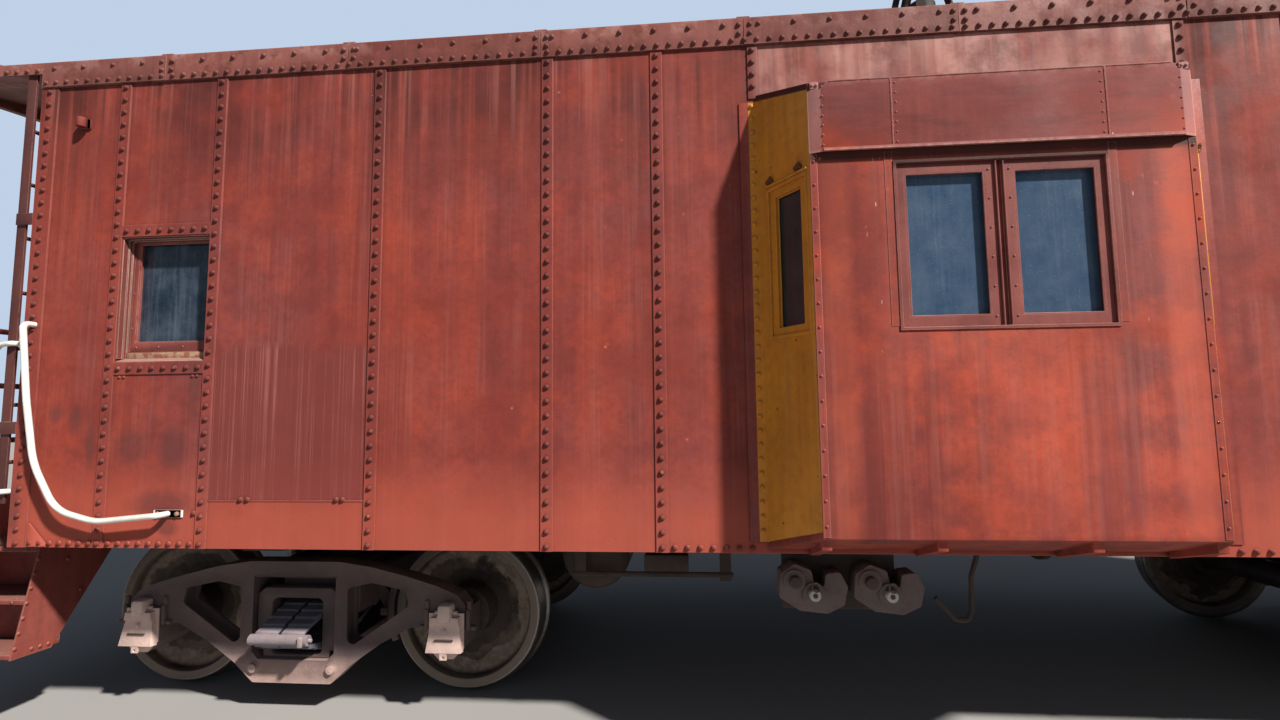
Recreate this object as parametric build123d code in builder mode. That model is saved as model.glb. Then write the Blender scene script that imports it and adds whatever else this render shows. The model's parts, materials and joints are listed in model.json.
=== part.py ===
"""A steel bay-window caboose on two swing-motion trucks.

Millimetres. X runs along the car, the photographed side is at -Y, +Z is up, and z = 0 is where
the wheel flanges end. End A is at -X and end B at +X. End B is end A turned half a turn.
"""

from build123d import *
from math import radians, sqrt, tan
import os

os.makedirs("parts", exist_ok=True)

# Body shell
body_length = 9144
body_half_width = 1473
side_bottom = 923
eave = 3251
wall = 75
floor_top = 1130
floor_thickness = 50
strap_thickness = 6
strap_width = 55
corner_strip_width = 95
platform_length = 760

# Roof
fascia_top = 3388
fascia_thickness = 10
platform_fascia_depth = 58
roof_rise = 220
roof_thickness = 50
carline_depth = 95
roof_sheet_length = 970
roof_batten_width = 60
roof_batten_height = 6

# Bay window
bay_depth = 277
bay_half_base = 925
bay_cheek_run = 181
bay_wall = 50
bay_slab = 28
bay_low_at_side = 942
bay_low_at_front = 1040
bay_high_at_side = 3006
bay_high_at_front = 2900
bay_flange_width = 75
bay_room_margin = 75
bay_rib_width = 40
bay_rib_depth = 24
bay_rib_places = (285, 725)
bay_opening_drop = 60
hood_drop = 5
hood_height = 300
hood_standoff = 20
hood_return = 55
hood_sheet = 4
hood_lip_reach = 8
hood_lip_height = 12
hood_corner_run = 25
hood_corner_drop = 30

# Windows
side_window_centre = 3836
side_window_width = 470
side_window_bottom = 1814
side_window_height = 631
side_window_setback = 60
side_stile_width = 40
side_rail_height = 50
side_head_height = 20
side_sill_rise = 18
side_stop_height = 37
end_sash_width = 50
window_strap_height = 60
bay_window_side_margin = 343
bay_window_bottom = 1865
bay_window_height = 674
bay_mullion_width = 112
bay_mullion_gap = 12
bay_stile_width = 33
bay_rail_height = 44
cheek_sash_width = 35
cheek_window_width = 226
cheek_window_shift = 22
cheek_window_height = 654
end_window_width = 420
end_window_centre = 900
frame_depth = 40
frame_setback = 14
pane_thickness = 6
pane_lap = 10

# End doors
door_width = 745
door_height = 1955
door_thickness = 45
door_gap = 5
door_opening_half = 380
door_stop = 18
door_light_width = 400
door_light_height = 620
door_light_bottom = 1120
hinge_radius = 9
hinge_length = 60
hinge_offset = 10
hinge_heights = (200, 980, 1760)
hinge_leaf = 40
hinge_leaf_thickness = 6
door_panel_low = 120
door_panel_sink = 12
door_panel_margin = 60
knob_height = 960
knob_inset = 60
knob_radius = 28
knob_depth = 20
knob_neck_radius = 14
knob_neck = 45

# Trucks and wheels
truck_spacing = 6706
wheelbase = 1676
tread_radius = 419
flange_height = 25.4
gauge_face = 676.5
rim_width = 143.5
rim_thickness = 60
hub_radius = 132
journal_radius = 64
journal_end = 1085
journal_clearance = 0.3
frame_mid = 1035
frame_thickness = 110
window_half = 228
window_low = 272
window_high = 692
box_half_width = 92
box_back = 872
box_front = 1110
bolster_half_width = 150
bolster_low = 545
bolster_high = 680
bolster_reach = 958
centre_plate_radius = 170
centre_plate_top = 712
transom_near = 235
transom_far = 300
shoe_gap = 12
shoe_thickness = 38
shoe_width = 86

# Elliptic leaf springs across the truck
spring_centre_y = 865
spring_centre_z = 410
spring_half_length = 330
spring_half_height = 80
leaf_thickness = 10
leaf_count = 5
leaf_step = 52
leaf_width = 122
leaf_gap = 18
band_width = 90
band_overlap = 6
roll_radius = 27
roll_length = 312

# Underframe and running gear
centre_sill_half = 165
centre_sill_low = 745
side_sill_width = 58
plate_gap = 0.3
coupler_height = 901
coupler_reach = 350
end_sill_thickness = 50
end_sill_low = 785

half_length = body_length / 2
platform_end = half_length + platform_length
inner_half_width = body_half_width - wall
sill_inner = inner_half_width - side_sill_width
axle_z = tread_radius + flange_height
flange_radius = tread_radius + flange_height
truck_x = truck_spacing / 2
bay_half_front = bay_half_base - bay_cheek_run
bay_window_half_width = bay_half_front - bay_window_side_margin
bay_pane_width = bay_window_half_width - bay_mullion_width / 2 - bay_stile_width
bay_pane_offset = (bay_window_half_width - bay_stile_width + bay_mullion_width / 2) / 2
bay_pane_height = bay_window_height - 2 * bay_rail_height
cheek_pane_width = cheek_window_width - 2 * cheek_sash_width
cheek_pane_height = cheek_window_height - 2 * cheek_sash_width
hood_top = bay_high_at_front - hood_drop
hood_low = hood_top - hood_height
roof_radius = ((body_half_width + fascia_thickness) ** 2 + roof_rise**2) / (2 * roof_rise)
roof_centre = fascia_top + roof_rise - roof_radius
curve_gap = 0.3


def roof_z(y, depth=0.0):
    """Height of the roof's arc at y, or of an arc that lies depth below it."""
    return roof_centre + sqrt((roof_radius - depth) ** 2 - y**2)


def near_plane(distance):
    """Upright plane facing -Y at the given distance from the centreline: local x = X, y = Z."""
    return Plane.XZ.offset(distance)


def cross_plane(x):
    """Upright plane across the car at x: local x = Y, y = Z."""
    return Plane.YZ.offset(x)


def save(part, name):
    """Labels a finished piece and writes its STEP file."""
    part.label = name
    export_step(part, f"parts/{name}.step")


# Side walls. Columns: distance of a strap's centre from midlength, strap width.
window_strap_shift = (side_window_width + strap_width) / 2
side_straps = (
    (half_length - corner_strip_width / 2, corner_strip_width),
    (side_window_centre + window_strap_shift, strap_width),
    (side_window_centre - window_strap_shift, strap_width),
    (2743, strap_width),
    (1907, strap_width),
    (1384, strap_width),
)
wall_top_out = roof_z(body_half_width, roof_thickness) - curve_gap
wall_top_in = roof_z(inner_half_width, roof_thickness) - curve_gap
bay_opening_half = bay_half_base - bay_room_margin
bay_opening_top = bay_high_at_front - bay_opening_drop
bay_opening_low = floor_top - floor_thickness

with BuildPart() as side_wall_near:
    with BuildSketch(cross_plane(-half_length)):
        with BuildLine():
            Polyline(
                (-body_half_width, side_bottom),
                (-inner_half_width, side_bottom),
                (-inner_half_width, wall_top_in),
                (-body_half_width, wall_top_out),
                close=True,
            )
        make_face()
    extrude(amount=body_length)
    with BuildSketch(near_plane(body_half_width)):
        for end in (-1, 1):
            for x, width in side_straps:
                with Locations((end * x, (side_bottom + eave) / 2)):
                    Rectangle(width, eave - side_bottom)
            for z in (
                side_window_bottom - window_strap_height / 2,
                side_window_bottom + side_window_height + window_strap_height / 2,
            ):
                with Locations((end * side_window_centre, z)):
                    Rectangle(side_window_width, window_strap_height)
    extrude(amount=strap_thickness)
    with BuildSketch(near_plane(body_half_width + strap_thickness)):
        for end in (-1, 1):
            with Locations((end * side_window_centre, side_window_bottom + side_window_height / 2)):
                Rectangle(side_window_width, side_window_height)
        with Locations((0, (bay_opening_low + bay_opening_top) / 2)):
            Rectangle(2 * bay_opening_half, bay_opening_top - bay_opening_low)
    extrude(amount=-(wall + strap_thickness + 1), mode=Mode.SUBTRACT)
save(side_wall_near.part, "side_wall_near")

with BuildPart() as side_wall_far:
    mirror(side_wall_near.part, about=Plane.XZ)
save(side_wall_far.part, "side_wall_far")


# Roof with its side fascias, end carlines and battens over the sheet joints
fascia_out = body_half_width + fascia_thickness
platform_fascia_low = fascia_top - platform_fascia_depth
sheet_in = roof_z(body_half_width, roof_thickness)
with BuildPart() as roof:
    with BuildSketch(cross_plane(-platform_end)):
        with BuildLine():
            Polyline(
                (-body_half_width, sheet_in),
                (-body_half_width, platform_fascia_low),
                (-fascia_out, platform_fascia_low),
                (-fascia_out, fascia_top),
            )
            ThreePointArc((-fascia_out, fascia_top), (0, roof_z(0)), (fascia_out, fascia_top))
            Polyline(
                (fascia_out, fascia_top),
                (fascia_out, platform_fascia_low),
                (body_half_width, platform_fascia_low),
                (body_half_width, sheet_in),
            )
            ThreePointArc(
                (body_half_width, sheet_in), (0, roof_z(0, roof_thickness)), (-body_half_width, sheet_in)
            )
        make_face()
    extrude(amount=2 * platform_end)
    for side in (-1, 1):
        with BuildSketch(cross_plane(-half_length)):
            with Locations((side * (body_half_width + fascia_out) / 2, (eave + platform_fascia_low) / 2)):
                Rectangle(fascia_thickness, platform_fascia_low - eave)
        extrude(amount=body_length)
    for x in (-platform_end, platform_end - 40):
        with BuildSketch(cross_plane(x)):
            with BuildLine():
                Line((-body_half_width, platform_fascia_low), (-body_half_width, sheet_in))
                ThreePointArc(
                    (-body_half_width, sheet_in), (0, roof_z(0, roof_thickness)), (body_half_width, sheet_in)
                )
                Line((body_half_width, sheet_in), (body_half_width, platform_fascia_low))
                ThreePointArc(
                    (body_half_width, platform_fascia_low),
                    (0, roof_z(0, roof_thickness + carline_depth)),
                    (-body_half_width, platform_fascia_low),
                )
            make_face()
        extrude(amount=40)
    joints_each_way = int((platform_end - roof_batten_width) / roof_sheet_length)
    for index in range(-joints_each_way, joints_each_way + 1):
        x = index * roof_sheet_length - roof_batten_width / 2
        with BuildSketch(cross_plane(x)):
            with BuildLine():
                ThreePointArc((-fascia_out, fascia_top), (0, roof_z(0)), (fascia_out, fascia_top))
                Line((fascia_out, fascia_top), (fascia_out, fascia_top + roof_batten_height))
                ThreePointArc(
                    (fascia_out, fascia_top + roof_batten_height),
                    (0, roof_z(0) + roof_batten_height),
                    (-fascia_out, fascia_top + roof_batten_height),
                )
                Line((-fascia_out, fascia_top + roof_batten_height), (-fascia_out, fascia_top))
            make_face()
        extrude(amount=roof_batten_width)
save(roof.part, "roof")


# Floor between the side walls
with BuildPart() as floor:
    with BuildSketch(Plane.XY.offset(floor_top - floor_thickness)):
        Rectangle(body_length, 2 * inner_half_width)
    extrude(amount=floor_thickness)
save(floor.part, "floor")


# End walls with doorway, door stop, one window and the fixed halves of the hinges
wall_in = half_length - wall
door_head = floor_top + door_height + 2 * door_gap
end_arch = roof_z(inner_half_width, roof_thickness + curve_gap)
hinge_x = wall_in - hinge_offset
hinge_y = -door_opening_half
stop_x = wall_in + door_thickness + door_gap
door_middle = hinge_y + door_gap + door_width / 2
door_panel_high = door_light_bottom - 2 * door_panel_margin
knob_y = hinge_y + door_width - knob_inset
with BuildPart() as end_wall_b:
    with BuildSketch(cross_plane(wall_in)):
        with BuildLine():
            Polyline(
                (-inner_half_width, end_arch),
                (-inner_half_width, floor_top),
                (inner_half_width, floor_top),
                (inner_half_width, end_arch),
            )
            ThreePointArc(
                (inner_half_width, end_arch),
                (0, roof_z(0, roof_thickness + curve_gap)),
                (-inner_half_width, end_arch),
            )
        make_face()
        with Locations((end_window_centre, side_window_bottom + side_window_height / 2)):
            Rectangle(end_window_width, side_window_height, mode=Mode.SUBTRACT)
    extrude(amount=wall)
    for x, half, head in (
        (wall_in, door_opening_half, door_head),
        (stop_x, door_opening_half - door_stop, door_head - door_stop),
    ):
        with BuildSketch(cross_plane(x)):
            with Locations((0, (floor_top + head) / 2)):
                Rectangle(2 * half, head - floor_top)
        if x == wall_in:
            extrude(amount=door_thickness + door_gap, mode=Mode.SUBTRACT)
        else:
            extrude(amount=wall, mode=Mode.SUBTRACT)
    for height in hinge_heights:
        for low in (-3 * hinge_length / 2 - curve_gap, hinge_length / 2 + curve_gap):
            z = floor_top + height + low
            with BuildSketch(Plane.XY.offset(z)):
                with Locations((hinge_x, hinge_y)):
                    Circle(hinge_radius)
                with Locations((wall_in - hinge_offset / 2 - 0.5, hinge_y - 22)):
                    Rectangle(hinge_offset + 1, 36)
                with Locations((hinge_x, hinge_y - 8)):
                    Rectangle(8, 16)
            extrude(amount=hinge_length)
save(end_wall_b.part, "end_wall_b")

half_turn = Axis.Z
with BuildPart() as end_wall_a:
    add(end_wall_b.part.rotate(half_turn, 180))
save(end_wall_a.part, "end_wall_a")


# End doors, hung on the inner face and swinging inward
with BuildPart() as end_door_b:
    with BuildSketch(cross_plane(wall_in)):
        with Locations((door_middle, floor_top + door_gap + door_height / 2)):
            Rectangle(door_width, door_height)
        with Locations((door_middle, floor_top + door_light_bottom + door_light_height / 2)):
            Rectangle(door_light_width, door_light_height, mode=Mode.SUBTRACT)
    extrude(amount=door_thickness)
    with BuildSketch(cross_plane(wall_in + door_thickness)):
        with Locations((door_middle, floor_top + (door_panel_low + door_panel_high) / 2)):
            Rectangle(door_light_width + 2 * door_panel_margin, door_panel_high - door_panel_low)
    extrude(amount=-door_panel_sink, mode=Mode.SUBTRACT)
    for height in hinge_heights:
        with BuildSketch(Plane.XY.offset(floor_top + height - hinge_length / 2)):
            with Locations((hinge_x, hinge_y)):
                Circle(hinge_radius)
            with Locations((hinge_x + 3, hinge_y + 14)):
                Rectangle(hinge_leaf_thickness, 28)
            with Locations((wall_in - hinge_offset / 2 + 0.5, hinge_y + 34)):
                Rectangle(hinge_offset + 1, hinge_leaf)
        extrude(amount=hinge_length)
    with BuildSketch(cross_plane(wall_in + door_thickness)):
        with Locations((knob_y, floor_top + knob_height)):
            Circle(knob_neck_radius)
    extrude(amount=knob_neck)
    with BuildSketch(cross_plane(wall_in + door_thickness + knob_neck)):
        with Locations((knob_y, floor_top + knob_height)):
            Circle(knob_radius)
    extrude(amount=knob_depth)
save(end_door_b.part, "end_door_b")

with BuildPart() as end_door_a:
    add(end_door_b.part.rotate(half_turn, 180))
save(end_door_a.part, "end_door_a")

with BuildPart() as door_glass_b:
    with BuildSketch(cross_plane(wall_in + (door_thickness - pane_thickness) / 2)):
        with Locations((door_middle, floor_top + door_light_bottom + door_light_height / 2)):
            Rectangle(door_light_width, door_light_height)
    extrude(amount=pane_thickness)
save(door_glass_b.part, "door_glass_b")

with BuildPart() as door_glass_a:
    add(door_glass_b.part.rotate(half_turn, 180))
save(door_glass_a.part, "door_glass_a")


# Bay windows. The plan is a trapezium; the bottom slopes up and the top down towards the front.
bay_front_y = body_half_width + bay_depth
cheek_length = sqrt(bay_cheek_run**2 + bay_depth**2)
cheek_slope = bay_cheek_run / bay_depth
cheek_inset = bay_wall * cheek_length / bay_depth


def cheek_x(y, inset=0.0):
    """Half width of the bay at distance y from the centreline, less an inset along X."""
    return bay_half_base - (y - body_half_width) * cheek_slope - inset


bay_inner_front = bay_front_y - bay_wall
inner_corner = cheek_x(bay_inner_front, cheek_inset)
inner_base = cheek_x(body_half_width, cheek_inset)

with BuildPart() as bay_room:
    with BuildSketch(Plane.XY.offset(side_bottom)):
        with BuildLine():
            Polyline(
                (-bay_half_base, -body_half_width),
                (-bay_half_front, -bay_front_y),
                (-inner_corner, -bay_inner_front),
                (inner_corner, -bay_inner_front),
                (bay_half_front, -bay_front_y),
                (bay_half_base, -body_half_width),
                close=True,
            )
        make_face()
    extrude(amount=eave - side_bottom)
    with BuildSketch(cross_plane(-bay_half_base)):
        with BuildLine():
            Polyline(
                (-body_half_width, bay_low_at_side + bay_slab),
                (-bay_front_y, bay_low_at_front + bay_slab),
                (-bay_front_y, bay_high_at_front - bay_slab),
                (-body_half_width, bay_high_at_side - bay_slab),
                close=True,
            )
        make_face()
    extrude(amount=2 * bay_half_base, mode=Mode.INTERSECT)

with BuildPart() as bay_fronts:
    with BuildSketch(Plane.XY.offset(side_bottom)):
        with BuildLine():
            Polyline(
                (-bay_half_base, -body_half_width),
                (-bay_half_front, -bay_front_y),
                (bay_half_front, -bay_front_y),
                (bay_half_base, -body_half_width),
                close=True,
            )
        make_face()
    extrude(amount=eave - side_bottom)
    with BuildSketch(cross_plane(-bay_half_base)):
        with BuildLine():
            Polyline(
                (-body_half_width, bay_low_at_side),
                (-bay_front_y, bay_low_at_front),
                (-bay_front_y, bay_high_at_front),
                (-body_half_width, bay_high_at_side),
                close=True,
            )
        make_face()
    extrude(amount=2 * bay_half_base, mode=Mode.INTERSECT)
    add(bay_room.part, mode=Mode.SUBTRACT)
    with BuildSketch(near_plane(bay_front_y)):
        with Locations((0, bay_window_bottom + bay_window_height / 2)):
            Rectangle(2 * bay_window_half_width, bay_window_height)
    extrude(amount=-bay_wall - 1, mode=Mode.SUBTRACT)
    for place in bay_rib_places:
        for x in (-place, place):
            with BuildSketch(cross_plane(x - bay_rib_width / 2)):
                with BuildLine():
                    Polyline(
                        (-body_half_width - strap_thickness, bay_low_at_side),
                        (-body_half_width - strap_thickness, bay_low_at_side - bay_rib_depth),
                        (-bay_front_y + bay_rib_depth, bay_low_at_front - 2 * bay_rib_depth),
                        (-bay_front_y + bay_rib_depth, bay_low_at_front),
                        close=True,
                    )
                make_face()
            extrude(amount=bay_rib_width)
    mirror(about=Plane.XZ)
save(bay_fronts.part, "bay_fronts")

# The cheek plane lies on the outer face of the left-hand cheek of the near bay.
cheek_plane = Plane(
    origin=(-(bay_half_base + bay_half_front) / 2, -(body_half_width + bay_front_y) / 2, 0),
    x_dir=(bay_cheek_run, -bay_depth, 0),
    z_dir=(-bay_depth, -bay_cheek_run, 0),
)
mirrored_cheek_plane = Plane(
    origin=((bay_half_base + bay_half_front) / 2, cheek_plane.origin.Y, 0),
    x_dir=(bay_cheek_run, bay_depth, 0),
    z_dir=(bay_depth, -bay_cheek_run, 0),
)
cheek_window_mid = bay_window_bottom + cheek_window_height / 2
with BuildPart() as bay_cheeks:
    with BuildSketch(Plane.XY.offset(side_bottom)):
        with BuildLine():
            Polyline(
                (-bay_half_base, -body_half_width),
                (-bay_half_front, -bay_front_y),
                (-inner_corner, -bay_inner_front),
                (-inner_base, -body_half_width),
                close=True,
            )
        make_face()
    extrude(amount=eave - side_bottom)
    add(bay_room.part, mode=Mode.INTERSECT)
    with BuildSketch(near_plane(body_half_width)):
        with BuildLine():
            Polyline(
                (-bay_half_base - bay_flange_width, bay_low_at_side + bay_slab + 4),
                (-bay_half_base + 8, bay_low_at_side + bay_slab + 4),
                (-bay_half_base + 8, bay_high_at_side - bay_slab - 6),
                (-bay_half_base - bay_flange_width, bay_high_at_side - bay_slab - 6),
                close=True,
            )
        make_face()
    extrude(amount=strap_thickness)
    with BuildSketch(cheek_plane):
        with Locations((cheek_window_shift, cheek_window_mid)):
            Rectangle(cheek_window_width, cheek_window_height)
    extrude(amount=-bay_wall - 1, mode=Mode.SUBTRACT)
    mirror(about=Plane.YZ)
    mirror(about=Plane.XZ)
save(bay_cheeks.part, "bay_cheeks")

# Rain hood over the bay's front windows: a shallow tray of thin sheet with slanted end returns,
# cut away at its top corners and folded out in a small lip along its lower edge
hood_front_y = bay_front_y + hood_standoff
hood_half_flat = bay_half_front - hood_return
hood_return_inset = hood_sheet * sqrt(hood_return**2 + hood_standoff**2) / hood_standoff
hood_slant = hood_return / hood_standoff


def hood_x(y, inset=0.0):
    """Half width of the hood at distance y from the centreline, less an inset along X."""
    return bay_half_front - (y - bay_front_y) * hood_slant - inset


with BuildPart() as bay_hoods:
    for front, inset, height, mode in (
        (hood_front_y, 0.0, hood_height, Mode.ADD),
        (hood_front_y - hood_sheet, hood_return_inset, hood_height - hood_sheet, Mode.SUBTRACT),
    ):
        with BuildSketch(Plane.XY.offset(hood_low)):
            with BuildLine():
                Polyline(
                    (-hood_x(bay_front_y, inset), -bay_front_y),
                    (-hood_x(front, inset), -front),
                    (hood_x(front, inset), -front),
                    (hood_x(bay_front_y, inset), -bay_front_y),
                    close=True,
                )
            make_face()
        extrude(amount=height, mode=mode)
    with BuildSketch(near_plane(hood_front_y)):
        for side in (-1, 1):
            with BuildLine():
                Polyline(
                    (side * (hood_half_flat - hood_corner_run), hood_top),
                    (side * hood_half_flat, hood_top - hood_corner_drop),
                    (side * bay_half_front, hood_top - hood_corner_drop),
                    (side * bay_half_front, hood_top),
                    close=True,
                )
            make_face()
    extrude(amount=-hood_standoff, mode=Mode.SUBTRACT)
    with BuildSketch(near_plane(hood_front_y)):
        with Locations((0, hood_low + hood_lip_height / 2)):
            Rectangle(2 * hood_half_flat, hood_lip_height)
    extrude(amount=hood_lip_reach)
    mirror(about=Plane.XZ)
save(bay_hoods.part, "bay_hoods")


# Window frames and panes
side_sash_front = body_half_width - side_window_setback
side_sash_low = side_window_bottom + side_sill_rise + side_stop_height
side_pane_low = side_sash_low + side_rail_height
side_pane_width = side_window_width - 2 * side_stile_width
side_pane_height = side_window_bottom + side_window_height - side_head_height - side_pane_low
side_pane_middle = side_pane_low + side_pane_height / 2
stop_thickness = 16
end_pane_width = end_window_width - 2 * end_sash_width
end_pane_height = side_window_height - 2 * end_sash_width
with BuildPart() as window_frames:
    with BuildSketch(near_plane(side_sash_front)):
        for end in (-1, 1):
            with Locations((end * side_window_centre, side_window_bottom + side_window_height / 2)):
                Rectangle(side_window_width, side_window_height)
            with Locations((end * side_window_centre, side_pane_middle)):
                Rectangle(side_pane_width, side_pane_height, mode=Mode.SUBTRACT)
    extrude(amount=frame_setback - frame_depth)
    for end in (-1, 1):
        with BuildSketch(cross_plane(end * side_window_centre - side_window_width / 2)):
            with BuildLine():
                Polyline(
                    (-body_half_width, side_window_bottom),
                    (-side_sash_front - stop_thickness, side_window_bottom + side_sill_rise),
                    (-side_sash_front - stop_thickness, side_sash_low),
                    (-side_sash_front, side_sash_low),
                    (-side_sash_front, side_window_bottom),
                    close=True,
                )
            make_face()
        extrude(amount=side_window_width)
    mirror(about=Plane.XZ)
    for end in (-1, 1):
        with BuildSketch(cross_plane(end * (half_length - frame_setback))):
            with Locations((end * end_window_centre, side_window_bottom + side_window_height / 2)):
                Rectangle(end_window_width, side_window_height)
                Rectangle(end_pane_width, end_pane_height, mode=Mode.SUBTRACT)
        extrude(amount=-end * frame_depth)
save(window_frames.part, "window_frames")

with BuildPart() as bay_window_frames:
    with BuildSketch(near_plane(bay_front_y - frame_setback / 2)):
        with Locations((0, bay_window_bottom + bay_window_height / 2)):
            Rectangle(2 * bay_window_half_width, bay_window_height)
        for x in (-bay_pane_offset, bay_pane_offset):
            with Locations((x, bay_window_bottom + bay_window_height / 2)):
                Rectangle(bay_pane_width, bay_pane_height, mode=Mode.SUBTRACT)
    extrude(amount=-frame_depth + frame_setback)
    with BuildSketch(near_plane(bay_front_y - frame_setback / 2)):
        with Locations((0, bay_window_bottom + bay_window_height / 2)):
            Rectangle(bay_mullion_gap, bay_window_height)
    extrude(amount=-bay_mullion_gap, mode=Mode.SUBTRACT)
    mirror(about=Plane.XZ)
save(bay_window_frames.part, "bay_window_frames")

with BuildPart() as cheek_window_frames:
    with BuildSketch(cheek_plane.offset(-frame_setback / 2)):
        with Locations((cheek_window_shift, cheek_window_mid)):
            Rectangle(cheek_window_width, cheek_window_height)
            Rectangle(cheek_pane_width, cheek_pane_height, mode=Mode.SUBTRACT)
    extrude(amount=-frame_depth + frame_setback)
    with BuildSketch(mirrored_cheek_plane.offset(-frame_setback / 2)):
        with Locations((-cheek_window_shift, cheek_window_mid)):
            Rectangle(cheek_window_width, cheek_window_height)
            Rectangle(cheek_pane_width, cheek_pane_height, mode=Mode.SUBTRACT)
    extrude(amount=-frame_depth + frame_setback)
    mirror(about=Plane.XZ)
save(cheek_window_frames.part, "cheek_window_frames")

with BuildPart() as window_glass:
    with BuildSketch(near_plane(side_sash_front + frame_setback - frame_depth)):
        for end in (-1, 1):
            with Locations((end * side_window_centre, side_pane_middle)):
                Rectangle(side_pane_width + 2 * pane_lap, side_pane_height + 2 * pane_lap)
    extrude(amount=-pane_thickness)
    with BuildSketch(near_plane(bay_front_y + frame_setback / 2 - frame_depth)):
        for x in (-bay_pane_offset, bay_pane_offset):
            with Locations((x, bay_window_bottom + bay_window_height / 2)):
                Rectangle(bay_pane_width + 2 * pane_lap, bay_pane_height + 2 * pane_lap)
    extrude(amount=-pane_thickness)
    with BuildSketch(cheek_plane.offset(frame_setback / 2 - frame_depth)):
        with Locations((cheek_window_shift, cheek_window_mid)):
            Rectangle(cheek_pane_width + 2 * pane_lap, cheek_pane_height + 2 * pane_lap)
    extrude(amount=-pane_thickness)
    with BuildSketch(mirrored_cheek_plane.offset(frame_setback / 2 - frame_depth)):
        with Locations((-cheek_window_shift, cheek_window_mid)):
            Rectangle(cheek_pane_width + 2 * pane_lap, cheek_pane_height + 2 * pane_lap)
    extrude(amount=-pane_thickness)
    mirror(about=Plane.XZ)
    for end in (-1, 1):
        with BuildSketch(cross_plane(end * (half_length - frame_setback - frame_depth))):
            with Locations((end * end_window_centre, side_window_bottom + side_window_height / 2)):
                Rectangle(end_pane_width + 2 * pane_lap, end_pane_height + 2 * pane_lap)
        extrude(amount=-end * pane_thickness)
save(window_glass.part, "window_glass")


# Underframe: centre sill, side sills, cross bearers and body bolsters over the trucks
floor_low = floor_top - floor_thickness
bolster_tip = 905
bearing_y = 600
bearing_half = 60
bearing_gap = 8
bearing_plate = 12
bearing_block = 110
jack_pad_low = 885
jack_pad_y = sill_inner - 65
jack_pad_length = 220
jack_pad_width = 130
bearer_width = 80
bearer_depth = 140
bearer_places = (half_length - 72, 1500, 230)
bearer_length = sill_inner - centre_sill_half
bearer_y = (sill_inner + centre_sill_half) / 2
centre_sill_web = 30
bolster_flare = 60
bolster_plate = 15
body_bolster_low = centre_sill_low - bolster_plate
side_sill_low = side_bottom + 10
with BuildPart() as centre_sill:
    with BuildSketch(Plane.XY.offset(centre_sill_low)):
        for side in (-1, 1):
            with Locations((0, side * (centre_sill_half - centre_sill_web / 2))):
                Rectangle(2 * (platform_end - end_sill_thickness), centre_sill_web)
    extrude(amount=floor_low - centre_sill_low)
save(centre_sill.part, "centre_sill")

with BuildPart() as side_sills:
    with BuildSketch(Plane.XY.offset(side_sill_low)):
        for side in (-1, 1):
            with Locations((0, side * (sill_inner + inner_half_width) / 2)):
                Rectangle(body_length, side_sill_width)
    extrude(amount=floor_low - side_sill_low)
save(side_sills.part, "side_sills")

with BuildPart() as cross_bearers:
    with BuildSketch(Plane.XY.offset(floor_low - bearer_depth)):
        for place in bearer_places:
            for x in (-place, place):
                with Locations((x, -bearer_y), (x, bearer_y)):
                    Rectangle(bearer_width, bearer_length)
                with Locations((x, 0)):
                    Rectangle(bearer_width, 2 * (centre_sill_half - centre_sill_web))
    extrude(amount=bearer_depth)
save(cross_bearers.part, "cross_bearers")

with BuildPart() as body_bolsters:
    for x in (-truck_x, truck_x):
        with BuildSketch(cross_plane(x - bolster_half_width)):
            with BuildLine():
                Polyline(
                    (-sill_inner, floor_low),
                    (-sill_inner, bolster_tip),
                    (-centre_sill_half - bolster_flare, body_bolster_low),
                    (centre_sill_half + bolster_flare, body_bolster_low),
                    (sill_inner, bolster_tip),
                    (sill_inner, floor_low),
                    close=True,
                )
            make_face()
            with Locations((0, (centre_sill_low + floor_low) / 2)):
                Rectangle(2 * centre_sill_half, floor_low - centre_sill_low, mode=Mode.SUBTRACT)
        extrude(amount=2 * bolster_half_width)
        with BuildSketch(Plane.XY.offset(centre_plate_top + plate_gap)):
            with Locations((x, 0)):
                Circle(centre_plate_radius - 25)
        extrude(amount=body_bolster_low - centre_plate_top - plate_gap)
        with BuildSketch(Plane.XY.offset(jack_pad_low)):
            with Locations((x, -jack_pad_y), (x, jack_pad_y)):
                Rectangle(jack_pad_length, jack_pad_width)
        extrude(amount=floor_low - jack_pad_low)
        with BuildSketch(Plane.XY.offset(bolster_high + bearing_plate + bearing_gap)):
            with Locations((x, -bearing_y), (x, bearing_y)):
                Rectangle(2 * bearing_half, 2 * bearing_half)
        extrude(amount=bearing_block)
save(body_bolsters.part, "body_bolsters")


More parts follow.
